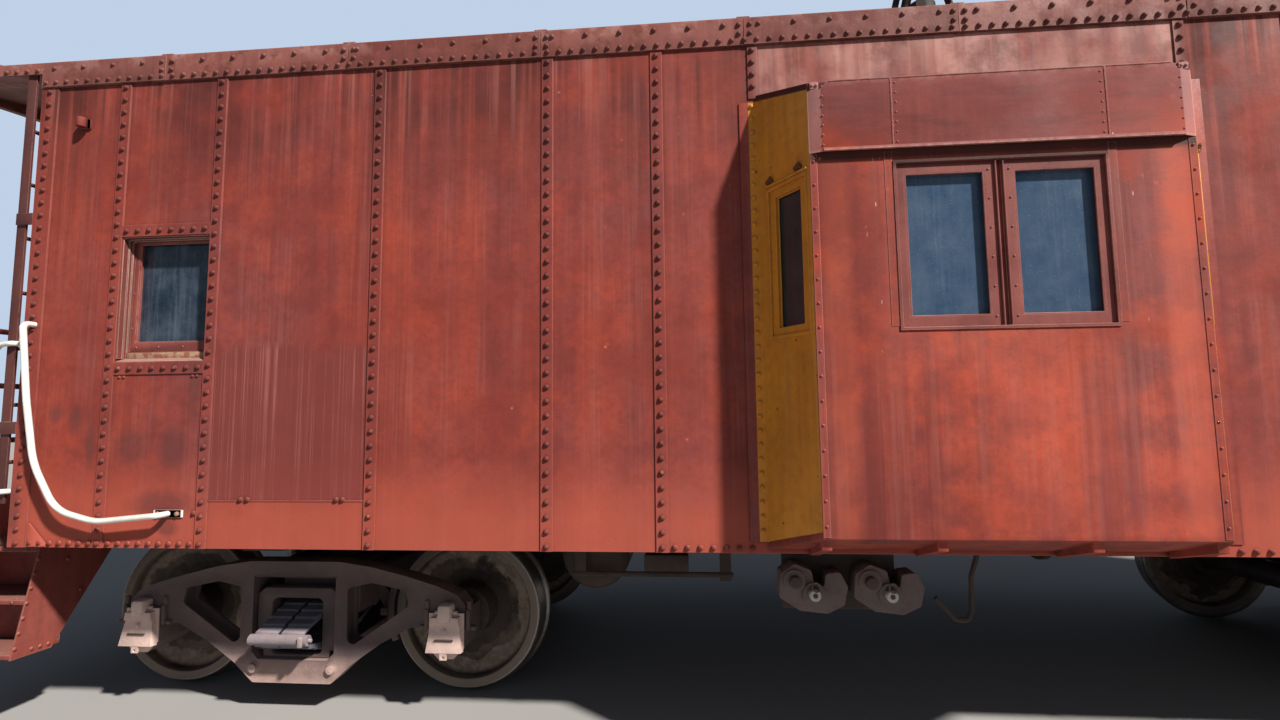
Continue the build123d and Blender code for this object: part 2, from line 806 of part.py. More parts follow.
# Platforms beyond the end walls: deck, end sill with the coupler's mouth, and side beams
mouth_half = 130
mouth_height = 175
shank_half = 75
deck_half = body_half_width - 543
deck_thickness = 20
side_beam_width = 60
side_beam_drop = 60
end_sill_inset = 60
end_sill_tip = 80
end_sill_waist = centre_sill_half + 160
with BuildPart() as platforms:
    for end in (-1, 1):
        with BuildSketch(Plane.XY.offset(floor_top - deck_thickness)):
            with Locations((end * (half_length + platform_length / 2), 0)):
                Rectangle(platform_length, 2 * deck_half)
        extrude(amount=deck_thickness)
        with BuildSketch(cross_plane(end * platform_end)):
            with BuildLine():
                Polyline(
                    (-body_half_width + end_sill_inset, floor_top),
                    (-body_half_width + end_sill_inset, floor_low - end_sill_tip),
                    (-end_sill_waist, end_sill_low),
                    (end_sill_waist, end_sill_low),
                    (body_half_width - end_sill_inset, floor_low - end_sill_tip),
                    (body_half_width - end_sill_inset, floor_top),
                    close=True,
                )
            make_face()
            with Locations((0, coupler_height - shank_half + mouth_height / 2)):
                Rectangle(2 * mouth_half, mouth_height, mode=Mode.SUBTRACT)
        extrude(amount=-end * end_sill_thickness)
        with BuildSketch(Plane.XY.offset(floor_low - side_beam_drop)):
            for y in (-deck_half + side_beam_width / 2, deck_half - side_beam_width / 2):
                with Locations((end * (half_length + (platform_length - end_sill_thickness) / 2), y)):
                    Rectangle(platform_length - end_sill_thickness, side_beam_width)
        extrude(amount=side_beam_drop + floor_thickness - deck_thickness)
save(platforms.part, "platforms")


# Steps. Each stringer is a slanted plate; columns of the tread table: top height, outer y, inner y.
stringer_thickness = 8
step_low_out = (body_half_width - 48, 369)
step_low_in = (body_half_width - 240, 363)
step_top_in = (deck_half + 4, 797)
step_lean = 0.193
tread_rise = 246
tread_run = 50
tread_back_run = 100
tread_table = (
    (394, body_half_width - 53, body_half_width - 288),
    (394 + tread_rise, body_half_width - 53 - tread_run, body_half_width - 288 - tread_back_run),
    (394 + 2 * tread_rise, body_half_width - 53 - 2 * tread_run, body_half_width - 288 - 2 * tread_back_run),
)
tread_thickness = 22
riser_thickness = 6
deck_under = floor_top - deck_thickness
step_top_out = step_low_out[0] - (deck_under - step_low_out[1]) * step_lean
stringer_in = half_length
stringer_out = platform_end - end_sill_thickness - stringer_thickness
tread_length = stringer_out - stringer_in - stringer_thickness
tread_x = (stringer_out + stringer_in + stringer_thickness) / 2
with BuildPart() as steps:
    for end in (-1, 1):
        for x in (stringer_in, stringer_out):
            with BuildSketch(cross_plane(end * x)):
                with BuildLine():
                    Polyline(
                        (-step_low_out[0], step_low_out[1]),
                        (-step_low_in[0], step_low_in[1]),
                        (-step_top_in[0], step_top_in[1]),
                        (-step_top_in[0], deck_under),
                        (-step_top_out, deck_under),
                        close=True,
                    )
                make_face()
            extrude(amount=end * stringer_thickness)
    mirror(about=Plane.XZ)
save(steps.part, "steps")

with BuildPart() as step_treads:
    for top, out, back in tread_table:
        with BuildSketch(Plane.XY.offset(top)):
            with Locations((-tread_x, -(out + back) / 2), (tread_x, -(out + back) / 2)):
                Rectangle(tread_length, out - back)
        extrude(amount=-tread_thickness)
    mirror(about=Plane.XZ)
save(step_treads.part, "step_treads")

with BuildPart() as step_risers:
    for index, (top, out, back) in enumerate(tread_table):
        last = index + 1 == len(tread_table)
        above = deck_under if last else tread_table[index + 1][0] - tread_thickness
        with BuildSketch(Plane.XY.offset(top)):
            with Locations(
                (-tread_x, -back - riser_thickness / 2), (tread_x, -back - riser_thickness / 2)
            ):
                Rectangle(tread_length, riser_thickness)
        extrude(amount=above - top)
    mirror(about=Plane.XZ)
save(step_risers.part, "step_risers")


# End railings at the platform's edge: corner posts up to the roof, rails and gate posts
rail_top = 2060
post_size = 50
post_y = body_half_width - 85
gate_y = 330
rail_radius = 16
rail_heights = (1420, 1740, rail_top)
rail_x = platform_end - end_sill_thickness / 2
with BuildPart() as end_railings:
    for end in (-1, 1):
        with BuildSketch(Plane.XY.offset(floor_top)):
            with Locations((end * rail_x, -post_y), (end * rail_x, post_y)):
                Rectangle(post_size, post_size)
        extrude(amount=roof_z(post_y + post_size / 2, roof_thickness + carline_depth) - floor_top - 45)
        with BuildSketch(Plane.XY.offset(floor_top)):
            with Locations((end * rail_x, -gate_y), (end * rail_x, gate_y)):
                Rectangle(post_size - 10, post_size - 10)
        extrude(amount=rail_top - floor_top + 10)
        for side in (-1, 1):
            for z in rail_heights:
                with BuildSketch(Plane.XZ.offset(-side * gate_y)):
                    with Locations((end * rail_x, z)):
                        Circle(rail_radius)
                extrude(amount=-side * (post_y - gate_y))
save(end_railings.part, "end_railings")


# Ladders from each platform to the roof, on the end wall beside the corner
ladder_width = 400
ladder_plate_inset = 4
ladder_standoff = 71
stile_width = 50
stile_thickness = 12
rung_pitch = 285
rung_radius = 10
first_rung = 0.7 * rung_pitch
ladder_plate_places = (1500, 2560)
ladder_plate_length = 92
ladder_plate_height = 60
ladder_low = floor_top
ladder_near = body_half_width - ladder_plate_inset - stile_thickness / 2
ladder_far = ladder_near - ladder_width
ladder_x = half_length + ladder_standoff
stile_top = roof_z(ladder_near, roof_thickness) - 2
rung_count = int((stile_top - ladder_low) / rung_pitch)
with BuildPart() as ladder_b:
    for y in (ladder_far, ladder_near):
        with BuildSketch(near_plane(-y - stile_thickness / 2)):
            with Locations((ladder_x, (ladder_low + stile_top) / 2)):
                Rectangle(stile_width, stile_top - ladder_low)
        extrude(amount=stile_thickness)
    for z in ladder_plate_places:
        with BuildSketch(near_plane(ladder_plate_inset - body_half_width)):
            with Locations((half_length + ladder_plate_length / 2, z)):
                Rectangle(ladder_plate_length, ladder_plate_height)
        extrude(amount=-ladder_plate_inset - strap_thickness)
        with BuildSketch(near_plane(-ladder_far - stile_thickness / 2)):
            with Locations((half_length + ladder_plate_length / 2, z)):
                Rectangle(ladder_plate_length, ladder_plate_height)
        extrude(amount=stile_thickness)
with BuildPart() as ladders:
    add(ladder_b.part)
    add(ladder_b.part.rotate(half_turn, 180))
save(ladders.part, "ladders")

with BuildPart() as rungs_b:
    with BuildSketch(near_plane(-ladder_far - stile_thickness / 2)):
        for index in range(rung_count):
            with Locations((ladder_x, ladder_low + first_rung + index * rung_pitch)):
                Circle(rung_radius)
    extrude(amount=stile_thickness - ladder_width)
with BuildPart() as ladder_rungs:
    add(rungs_b.part)
    add(rungs_b.part.rotate(half_turn, 180))
save(ladder_rungs.part, "ladder_rungs")


# White grab irons on the four corners of the body
grab_radius = 14
grab_y = body_half_width + 60
grab_path = (
    (4512, body_half_width + strap_thickness, 2012),
    (4512, grab_y, 2012),
    (4462, grab_y, 1640),
    (4400, grab_y, 1330),
    (4268, grab_y, 1110),
    (4060, grab_y, 1056),
    (3740, grab_y, 1086),
    (3740, body_half_width, 1086),
)
grab_foot_length = 146
grab_foot_height = 34
with BuildPart() as side_grab_irons:
    with BuildLine() as grab_line:
        FilletPolyline(
            *[(-x, -y, z) for x, y, z in grab_path],
            radius=[26, 900, 420, 200, 300, 26],
        )
    with BuildSketch(Plane(origin=grab_line.wires()[0] @ 0, z_dir=grab_line.wires()[0] % 0)):
        Circle(grab_radius)
    sweep(path=grab_line.wires()[0])
    with BuildSketch(near_plane(body_half_width)):
        with Locations((-grab_path[-1][0], grab_path[-1][2])):
            Rectangle(grab_foot_length, grab_foot_height)
    extrude(amount=grab_radius / 2)
    mirror(about=Plane.YZ)
    mirror(about=Plane.XZ)
save(side_grab_irons.part, "side_grab_irons")

corner_grab_seat = body_half_width - 21
corner_grab_out = body_half_width + 19
corner_grab_path = (
    (half_length, corner_grab_seat, 1920),
    (half_length + 18, corner_grab_seat, 1920),
    (half_length + 46, corner_grab_out, 1920),
    (half_length + 132, corner_grab_out, 1912),
    (half_length + 118, corner_grab_out, 1185),
    (half_length + 46, corner_grab_out, 1190),
    (half_length + 18, corner_grab_seat, 1190),
    (half_length, corner_grab_seat, 1190),
)
with BuildPart() as corner_grab_irons:
    with BuildLine() as corner_line:
        FilletPolyline(
            *[(-x, -y, z) for x, y, z in corner_grab_path], radius=[14, 14, 50, 40, 14, 14]
        )
    with BuildSketch(Plane(origin=corner_line.wires()[0] @ 0, z_dir=corner_line.wires()[0] % 0)):
        Circle(grab_radius - 1)
    sweep(path=corner_line.wires()[0])
    mirror(about=Plane.YZ)
    mirror(about=Plane.XZ)
save(corner_grab_irons.part, "corner_grab_irons")


# Trucks. Each piece is made at its own truck's centre.
frame_outline = (
    (245, 774),
    (425, 748),
    (610, 704),
    (775, 657),
    (885, 612),
    (930, 560),
    (930, 440),
    (745, 440),
    (645, 449),
    (480, 362),
    (325, 255),
    (215, 155),
)
frame_corner = 24
frame_triangle = ((293, 640), (425, 668), (612, 632), (627, 552), (330, 352), (295, 372))
triangle_corner = 26
window_corner = 38
box_low = 302
box_top = 528
box_belly = 52
frame_face = frame_mid + frame_thickness / 2
frame_cavity = 18
frame_lip = 15
chord_boss = (214, 228)
chord_boss_radius = 21
chord_boss_height = 12
hinge_lug_half = 40
hinge_lug_half_top = 29
hinge_lug_top = 566
hinge_pin_z = 532
hinge_pin_y = 1112
hinge_pin_radius = 9
hinge_pin_half = 58
lid_top = 513
lid_low = 345
lid_lean = 40
lid_half_top = 72
lid_tab_half = 18
lid_tab_drop = 30
lid_tab_thickness = 9
lid_tab_hole = 7
yoke_half = 224
yoke_shoulder = 30
yoke_top = 630
yoke_open_half = 140
yoke_open_corner = 30
yoke_open_low = 288
yoke_open_top = 577
yoke_out = 1060
tongue_height = 12
yoke_in = 990
plank_low = 225
plank_half = 170
transom_low = 480
transom_high = 660
beam_low = 410
beam_high = 450


def truck_plane(x, distance):
    """Upright plane facing -Y with its local origin at a truck's centre."""
    return Plane(origin=(x, -distance, 0), x_dir=(1, 0, 0), z_dir=(0, -1, 0))


def journal_lid(box_x):
    """Lid on the box's slanted mouth, its hinge lug and pin above it and the lifting tab below it."""
    with BuildPart() as lid:
        with BuildSketch(cross_plane(box_x - box_half_width)):
            with BuildLine():
                Polyline(
                    (-box_front, lid_top),
                    (-box_front - 12, lid_top),
                    (-box_front - lid_lean, lid_low),
                    (-box_front, lid_low - 5),
                    close=True,
                )
            make_face()
            with BuildLine():
                Polyline(
                    (-box_front + 70, box_top),
                    (-box_front + 55, hinge_lug_top),
                    (-box_front + 10, hinge_lug_top),
                    (-box_front - 30, lid_top + 4),
                    (-box_front - 30, lid_top - 40),
                    (-box_front, lid_top - 40),
                    (-box_front, box_top),
                    close=True,
                )
            make_face()
        extrude(amount=2 * box_half_width)
        with BuildSketch(truck_plane(box_x, box_front + lid_lean)):
            with BuildLine():
                Polyline(
                    (-box_half_width, lid_low - 5),
                    (box_half_width, lid_low - 5),
                    (lid_half_top, lid_top),
                    (hinge_lug_half, lid_top),
                    (hinge_lug_half_top, hinge_lug_top),
                    (-hinge_lug_half_top, hinge_lug_top),
                    (-hinge_lug_half, lid_top),
                    (-lid_half_top, lid_top),
                    close=True,
                )
            make_face()
        extrude(amount=-lid_lean - 70, mode=Mode.INTERSECT)
        with BuildSketch(cross_plane(box_x - hinge_pin_half)):
            with Locations((-hinge_pin_y, hinge_pin_z)):
                Circle(hinge_pin_radius)
        extrude(amount=2 * hinge_pin_half)
        with BuildSketch(truck_plane(box_x, box_front + lid_lean - 2)):
            with Locations((0, lid_low - lid_tab_drop / 2)):
                Rectangle(2 * lid_tab_half, lid_tab_drop + 10)
            with Locations((0, lid_low - lid_tab_drop + 8)):
                Circle(lid_tab_hole, mode=Mode.SUBTRACT)
        extrude(amount=-lid_tab_thickness)
    return lid.part


def truck_side_frames(name, x):
    """Two cast side frames with flanged windows, and their journal boxes and lids."""
    lids = [journal_lid(x + side * wheelbase / 2) for side in (-1, 1)]
    with BuildPart() as frames:
        with BuildSketch(truck_plane(x, frame_face)):
            with BuildLine():
                FilletPolyline(
                    *[(-px, pz) for px, pz in reversed(frame_outline)],
                    *frame_outline,
                    radius=frame_corner,
                    close=True,
                )
            make_face()
            with BuildLine():
                Polyline(
                    (-window_half, window_high),
                    (window_half, window_high),
                    (window_half, window_low + window_corner),
                    (window_half - window_corner, window_low),
                    (-window_half + window_corner, window_low),
                    (-window_half, window_low + window_corner),
                    close=True,
                )
            make_face(mode=Mode.SUBTRACT)
            for side in (-1, 1):
                with BuildLine():
                    FilletPolyline(
                        *[(side * px, pz) for px, pz in frame_triangle],
                        radius=triangle_corner,
                        close=True,
                    )
                make_face(mode=Mode.SUBTRACT)
        extrude(amount=-frame_thickness)
        for side in (-1, 1):
            with BuildSketch(truck_plane(x, frame_face - frame_lip)):
                with BuildLine():
                    FilletPolyline(
                        *[(side * px, pz) for px, pz in frame_triangle],
                        radius=triangle_corner,
                        close=True,
                    )
                make_face()
                offset(amount=frame_cavity)
            extrude(amount=2 * frame_lip - frame_thickness, mode=Mode.SUBTRACT)
            with BuildSketch(truck_plane(x, frame_face)):
                with Locations((side * chord_boss[0], chord_boss[1])):
                    Circle(chord_boss_radius)
            extrude(amount=chord_boss_height)
            box_x = x + side * wheelbase / 2
            with BuildSketch(truck_plane(box_x, box_back)):
                with BuildLine():
                    Polyline(
                        (-box_half_width, box_top),
                        (box_half_width, box_top),
                        (box_half_width, box_low + box_belly),
                        (box_half_width - box_belly, box_low),
                        (-box_half_width + box_belly, box_low),
                        (-box_half_width, box_low + box_belly),
                        close=True,
                    )
                make_face()
            extrude(amount=box_front - box_back)
        for lid in lids:
            add(lid)
        for side in (-1, 1):
            with BuildSketch(truck_plane(x + side * wheelbase / 2, box_back)):
                with Locations((0, axle_z)):
                    Circle(journal_radius + journal_clearance)
            extrude(amount=journal_end + 5 - box_back, mode=Mode.SUBTRACT)
        mirror(about=Plane.XZ)
    save(frames.part, name)


def truck_bolster(name, x):
    """Bolster with its centre bowl and side bearings."""
    with BuildPart() as bolster:
        with BuildSketch(cross_plane(x - bolster_half_width)):
            with BuildLine():
                Polyline(
                    (-bolster_reach, bolster_low),
                    (-bearing_y, bolster_low),
                    (-centre_plate_radius, bolster_low - 60),
                    (centre_plate_radius, bolster_low - 60),
                    (bearing_y, bolster_low),
                    (bolster_reach, bolster_low),
                    (bolster_reach, bolster_high),
                    (-bolster_reach, bolster_high),
                    close=True,
                )
            make_face()
        extrude(amount=2 * bolster_half_width)
        with BuildSketch(Plane.XY.offset(bolster_high)):
            with Locations((x, 0)):
                Circle(centre_plate_radius)
        extrude(amount=centre_plate_top - bolster_high)
        with BuildSketch(Plane.XY.offset(bolster_high)):
            with Locations((x, -bearing_y), (x, bearing_y)):
                Rectangle(2 * bearing_half, 2 * bearing_half)
        extrude(amount=bearing_plate)
    save(bolster.part, name)


def truck_cross_members(name, x):
    """Transoms between the side frames, and the spring plank with the yokes in their windows."""
    frame_inner = frame_mid - frame_thickness / 2
    with BuildPart() as members:
        for side in (-1, 1):
            with BuildSketch(Plane.XY.offset(transom_low)):
                with Locations((x + side * (transom_near + transom_far) / 2, 0)):
                    Rectangle(transom_far - transom_near, 2 * frame_inner)
            extrude(amount=transom_high - transom_low)
        with BuildSketch(Plane.XY.offset(plank_low)):
            with Locations((x, 0)):
                Rectangle(2 * plank_half, 2 * (frame_inner - 2))
        extrude(amount=spring_low - plank_low)
        for side in (-1, 1):
            with BuildSketch(truck_plane(x, side * yoke_out)):
                with Locations((0, (window_low + yoke_top) / 2)):
                    Rectangle(2 * (yoke_half - window_corner), yoke_top - window_low)
                for shoulder in (-1, 1):
                    with BuildLine():
                        Polyline(
                            (shoulder * (yoke_half - window_corner), yoke_top),
                            (shoulder * yoke_half, yoke_top - yoke_shoulder),
                            (shoulder * (yoke_half - window_corner), yoke_top - yoke_shoulder),
                            close=True,
                        )
                    make_face()
                with Locations((0, (window_low + window_corner + yoke_top - yoke_shoulder) / 2)):
                    Rectangle(2 * yoke_half, yoke_top - yoke_shoulder - window_low - window_corner)
                with Locations((0, (yoke_open_low + yoke_open_top) / 2)):
                    RectangleRounded(
                        2 * yoke_open_half,
                        yoke_open_top - yoke_open_low,
                        yoke_open_corner,
                        mode=Mode.SUBTRACT,
                    )
            extrude(amount=-side * (yoke_out - yoke_in))
            with BuildSketch(Plane.XY.offset(window_low)):
                with Locations((x, side * (yoke_in + frame_inner - 20) / 2)):
                    Rectangle(2 * bolster_half_width, yoke_in - frame_inner + 22)
            extrude(amount=tongue_height)
    save(members.part, name)


# An elliptic spring is two stacks of curved leaves joined by rolls at their ends.
spring_lift = roll_radius + leaf_thickness / 2 - 1
spring_camber = spring_half_height - spring_lift
spring_stack = spring_half_height + leaf_thickness / 2 + (leaf_count - 1) * leaf_thickness
spring_low = spring_centre_z - spring_stack - leaf_thickness
spring_arc_radius = (spring_half_length**2 + spring_camber**2) / (2 * spring_camber)


def leaf_z(y, lift):
    """Height above the spring's middle of a leaf face at distance y, lift above the main line."""
    return sqrt((spring_arc_radius + lift) ** 2 - y**2) - spring_arc_radius + spring_half_height


def truck_springs(name, x):
    """Two elliptic springs side by side at each end of the bolster."""
    with BuildPart() as springs:
        for pack in (-1, 1):
            left = x + pack * (leaf_width + leaf_gap) / 2 - leaf_width / 2
            with BuildSketch(cross_plane(left)):
                for index in range(leaf_count):
                    reach = spring_half_length - index * leaf_step
                    low = index * leaf_thickness - leaf_thickness / 2
                    high = low + leaf_thickness
                    with BuildLine(Plane.XY):
                        ThreePointArc(
                            (-reach, leaf_z(reach, low)), (0, leaf_z(0, low)), (reach, leaf_z(reach, low))
                        )
                        Line((reach, leaf_z(reach, low)), (reach, leaf_z(reach, high)))
                        ThreePointArc(
                            (reach, leaf_z(reach, high)), (0, leaf_z(0, high)), (-reach, leaf_z(reach, high))
                        )
                        Line((-reach, leaf_z(reach, high)), (-reach, leaf_z(reach, low)))
                    make_face()
                mirror(about=Plane.XZ)
            extrude(amount=leaf_width)
        with BuildSketch(cross_plane(x - roll_length / 2)):
            with Locations((-spring_half_length, 0), (spring_half_length, 0)):
                Circle(roll_radius)
        extrude(amount=roll_length)
        band_depth = (leaf_count + 2) * leaf_thickness
        for z in (spring_stack + leaf_thickness - band_depth, -spring_stack - leaf_thickness):
            with BuildSketch(Plane.XY.offset(z)):
                with Locations((x, 0)):
                    Rectangle(2 * (leaf_width + band_overlap) + leaf_gap, band_width)
            extrude(amount=band_depth)
    with BuildPart() as pair:
        for side in (-1, 1):
            add(springs.part.moved(Location((0, side * spring_centre_y, spring_centre_z))))
    save(pair.part, name)


tread_middle = gauge_face + 88
shoe_angle = 22


def truck_brakes(name, x):
    """Brake beams between wheels and bolster, with curved shoes and their hangers."""
    shoe_near = tread_radius + shoe_gap
    shoe_far = shoe_near + shoe_thickness
    with BuildPart() as brakes:
        for side in (-1, 1):
            wheel_x = x + side * wheelbase / 2
            beam_x = wheel_x - side * (shoe_far + 20)
            with BuildSketch(Plane.XY.offset(beam_low)):
                with Locations((beam_x, 0)):
                    Rectangle(50, 2 * (tread_middle + 40))
            extrude(amount=beam_high - beam_low)
            for wheel in (-1, 1):
                with BuildSketch(truck_plane(wheel_x, wheel * tread_middle + shoe_width / 2)):
                    with Locations((0, axle_z)):
                        Circle(shoe_far)
                        Circle(shoe_near, mode=Mode.SUBTRACT)
                    with BuildLine():
                        Polyline(
                            (0, axle_z),
                            (-side * 600, axle_z + 600 * tan(radians(shoe_angle))),
                            (-side * 600, axle_z - 600 * tan(radians(shoe_angle))),
                            close=True,
                        )
                    make_face(mode=Mode.INTERSECT)
                extrude(amount=-shoe_width)
                with BuildSketch(truck_plane(x, wheel * tread_middle + 8)):
                    with BuildLine():
                        Polyline(
                            (side * transom_far, transom_low + 20),
                            (side * transom_far, transom_low + 90),
                            (side * (transom_far + 24), transom_low + 90),
                            (side * (wheelbase / 2 - shoe_far + 12), axle_z + 60),
                            (side * (wheelbase / 2 - shoe_far + 12), axle_z - 30),
                            (side * (wheelbase / 2 - shoe_far - 18), axle_z - 30),
                            close=True,
                        )
                    make_face()
                extrude(amount=-16)
    save(brakes.part, name)


# Wheelset profiles: distance from the car's centreline, radius.
rim_out = gauge_face + rim_width
rim_inner_radius = tread_radius - rim_thickness
axle_profile = (
    (0, 0),
    (journal_end, 0),
    (journal_end, journal_radius),
    (box_back - 6, journal_radius),
    (box_back - 14, 78),
    (836, 78),
    (836, 88),
    (640, 88),
    (600, 80),
    (0, 74),
)
wheel_profile = (
    (655, 60),
    (655, hub_radius),
    (676, hub_radius + 12),
    (728, rim_inner_radius - 8),
    (gauge_face, rim_inner_radius + 4),
    (gauge_face, flange_radius - 12),
    (gauge_face + 6, flange_radius - 3),
    (gauge_face + 15, flange_radius),
    (gauge_face + 25, flange_radius - 4),
    (gauge_face + 34, tread_radius + 7),
    (gauge_face + 46, tread_radius + 1.5),
    (rim_out - 10, tread_radius - 4),
    (rim_out, tread_radius - 12),
    (rim_out, rim_inner_radius + 2),
    (772, rim_inner_radius - 8),
    (716, hub_radius + 12),
    (832, hub_radius),
    (832, 60),
)


def wheelset(name, x):
    """An axle with its two wheels, which turn together."""
    with BuildPart() as pair:
        with BuildSketch(Plane(origin=(x, 0, axle_z), x_dir=(0, 1, 0), z_dir=(1, 0, 0))):
            with BuildLine():
                Polyline(*axle_profile, close=True)
            make_face()
            with BuildLine():
                Polyline(*wheel_profile, close=True)
            make_face()
        revolve(axis=Axis((x, 0, axle_z), (0, 1, 0)))
        mirror(about=Plane.XZ)
    save(pair.part, name)


# Columns: letter of the end, truck's centre.
for letter, x in (("a", -truck_x), ("b", truck_x)):
    truck_side_frames(f"truck_{letter}_side_frames", x)
    truck_bolster(f"truck_{letter}_bolster", x)
    truck_cross_members(f"truck_{letter}_cross_members", x)
    truck_springs(f"truck_{letter}_springs", x)
    truck_brakes(f"truck_{letter}_brakes", x)
    wheelset(f"wheelset_{letter}_1", x - wheelbase / 2)
    wheelset(f"wheelset_{letter}_2", x + wheelbase / 2)


# Couplers with their shanks in the end sills. Plan of the head: distance past the end sill, y.
head_plan = (
    (10, -105),
    (90, -140),
    (190, -185),
    (300, -190),
    (coupler_reach + 20, -150),
    (coupler_reach - 30, -95),
    (coupler_reach - 95, -70),
    (coupler_reach - 110, 0),
    (coupler_reach - 40, 10),
    (coupler_reach, 60),
    (coupler_reach - 5, 130),
    (300, 175),
    (200, 170),
    (90, 120),
    (10, 105),
)
head_corner = 16
head_height = 280
shank_length = 560
with BuildPart() as coupler_b:
    with BuildSketch(Plane.XY.offset(coupler_height - shank_half)):
        with Locations((platform_end + 30 - shank_length / 2, 0)):
            Rectangle(shank_length, 2 * shank_half)
    extrude(amount=2 * shank_half)
    with BuildSketch(Plane(origin=(platform_end, 0, coupler_height - head_height / 2))):
        with BuildLine():
            FilletPolyline(*head_plan, radius=head_corner, close=True)
        make_face()
    extrude(amount=head_height)
with BuildPart() as couplers:
    add(coupler_b.part)
    add(coupler_b.part.rotate(half_turn, 180))
save(couplers.part, "couplers")


# Uncoupling levers along the end sills
lever_radius = 12
lever_z = 1010
lever_standoff = 55
lever_drop = 260
lever_lift = 110
lever_in = 150
lever_bend = 50
lever_bracket_inset = 150
lever_bracket_near = 170
lever_bracket_width = 50
lever_bracket_height = 60
lever_x = platform_end + lever_standoff
lever_out = body_half_width - 143
with BuildPart() as lever_b:
    with BuildLine() as lever_line:
        FilletPolyline(
            (lever_x, lever_out, lever_z - lever_drop),
            (lever_x, lever_out, lever_z),
            (lever_x, lever_in, lever_z),
            (lever_x + 90, lever_in, lever_z + lever_lift),
            radius=lever_bend,
        )
    with BuildSketch(Plane(origin=lever_line.wires()[0] @ 0, z_dir=lever_line.wires()[0] % 0)):
        Circle(lever_radius)
    sweep(path=lever_line.wires()[0])
    with BuildSketch(cross_plane(platform_end)):
        with Locations(
            (lever_out - lever_bracket_inset, lever_z), (lever_in + lever_bracket_near, lever_z)
        ):
            Rectangle(lever_bracket_width, lever_bracket_height)
    extrude(amount=lever_x - platform_end)
with BuildPart() as uncoupling_levers:
    add(lever_b.part)
    add(lever_b.part.rotate(half_turn, 180))
save(uncoupling_levers.part, "uncoupling_levers")


# Hand brakes: a wheel on a gear case carried by a column on each platform
brake_wheel_radius = 280
brake_rim = 24
brake_spokes = 5
brake_spoke_width = 26
brake_hub_radius = 50
brake_wheel_depth = 22
brake_wheel_z = 2130
brake_y = -760
brake_shaft_radius = 25
brake_shaft_length = 90
gear_case_width = 230
gear_case_height = 260
gear_case_depth = 120
column_width = 90
column_depth = 70
brake_reach = 250
case_x = rail_x - brake_reach + brake_shaft_length - 10
with BuildPart() as hand_brake_b:
    with BuildSketch(Plane.XY.offset(floor_top)):
        with Locations((case_x + gear_case_depth / 2, brake_y)):
            Rectangle(column_depth, column_width)
    extrude(amount=brake_wheel_z - floor_top)
    with BuildSketch(cross_plane(case_x)):
        with Locations((brake_y, brake_wheel_z)):
            Rectangle(gear_case_width, gear_case_height)
    extrude(amount=gear_case_depth)
    with BuildSketch(cross_plane(rail_x - brake_reach)):
        with Locations((brake_y, brake_wheel_z)):
            Circle(brake_shaft_radius)
    extrude(amount=brake_shaft_length)
    with BuildSketch(cross_plane(rail_x - brake_reach)):
        with Locations((brake_y, brake_wheel_z)):
            Circle(brake_wheel_radius)
            Circle(brake_wheel_radius - brake_rim, mode=Mode.SUBTRACT)
            Circle(brake_hub_radius)
            with PolarLocations(brake_wheel_radius / 2, brake_spokes):
                Rectangle(brake_wheel_radius - brake_rim, brake_spoke_width)
    extrude(amount=brake_wheel_depth)
with BuildPart() as hand_brakes:
    add(hand_brake_b.part)
    add(hand_brake_b.part.rotate(half_turn, 180))
save(hand_brakes.part, "hand_brakes")


# Air brake pieces under the floor
reservoir_x = -1790
reservoir_y = -centre_sill_half - 355
reservoir_z = 760
reservoir_radius = 190
reservoir_length = 620
reservoir_round = 60
reservoir_end = reservoir_y - reservoir_length / 2
with BuildPart() as air_reservoir:
    with BuildSketch(
        Plane(origin=(reservoir_x, reservoir_end, reservoir_z), x_dir=(0, 1, 0), z_dir=(1, 0, 0))
    ):
        with BuildLine():
            FilletPolyline(
                (0, 0),
                (0, reservoir_radius),
                (reservoir_length, reservoir_radius),
                (reservoir_length, 0),
                radius=reservoir_round,
            )
            Line((reservoir_length, 0), (0, 0))
        make_face()
    revolve(axis=Axis((reservoir_x, 0, reservoir_z), (0, 1, 0)))
    for y in (-150, 150):
        with BuildSketch(Plane.XZ.offset(-(reservoir_y + y))):
            with Locations((reservoir_x, (reservoir_z + floor_low) / 2)):
                Rectangle(60, floor_low - reservoir_z)
        extrude(amount=30)
save(air_reservoir.part, "air_reservoir")

cylinder_x = 700
cylinder_y = -centre_sill_half - 355
cylinder_z = 850
cylinder_radius = 135
cylinder_length = 420
cylinder_flange = 160
cylinder_flange_width = 40
push_rod_radius = 30
push_rod_length = 240
cylinder_seat_length = 300
with BuildPart() as brake_cylinder:
    with BuildSketch(cross_plane(cylinder_x)):
        with Locations((cylinder_y, cylinder_z)):
            Circle(cylinder_radius)
    extrude(amount=cylinder_length)
    with BuildSketch(cross_plane(cylinder_x - cylinder_flange_width / 2)):
        with Locations((cylinder_y, cylinder_z)):
            Circle(cylinder_flange)
    extrude(amount=cylinder_flange_width)
    with BuildSketch(cross_plane(cylinder_x - push_rod_length)):
        with Locations((cylinder_y, cylinder_z)):
            Circle(push_rod_radius)
    extrude(amount=push_rod_length)
    with BuildSketch(Plane.XY.offset(cylinder_z)):
        with Locations((cylinder_x + cylinder_length / 2, cylinder_y)):
            Rectangle(cylinder_seat_length, cylinder_flange)
    extrude(amount=floor_low - cylinder_z)
save(brake_cylinder.part, "brake_cylinder")

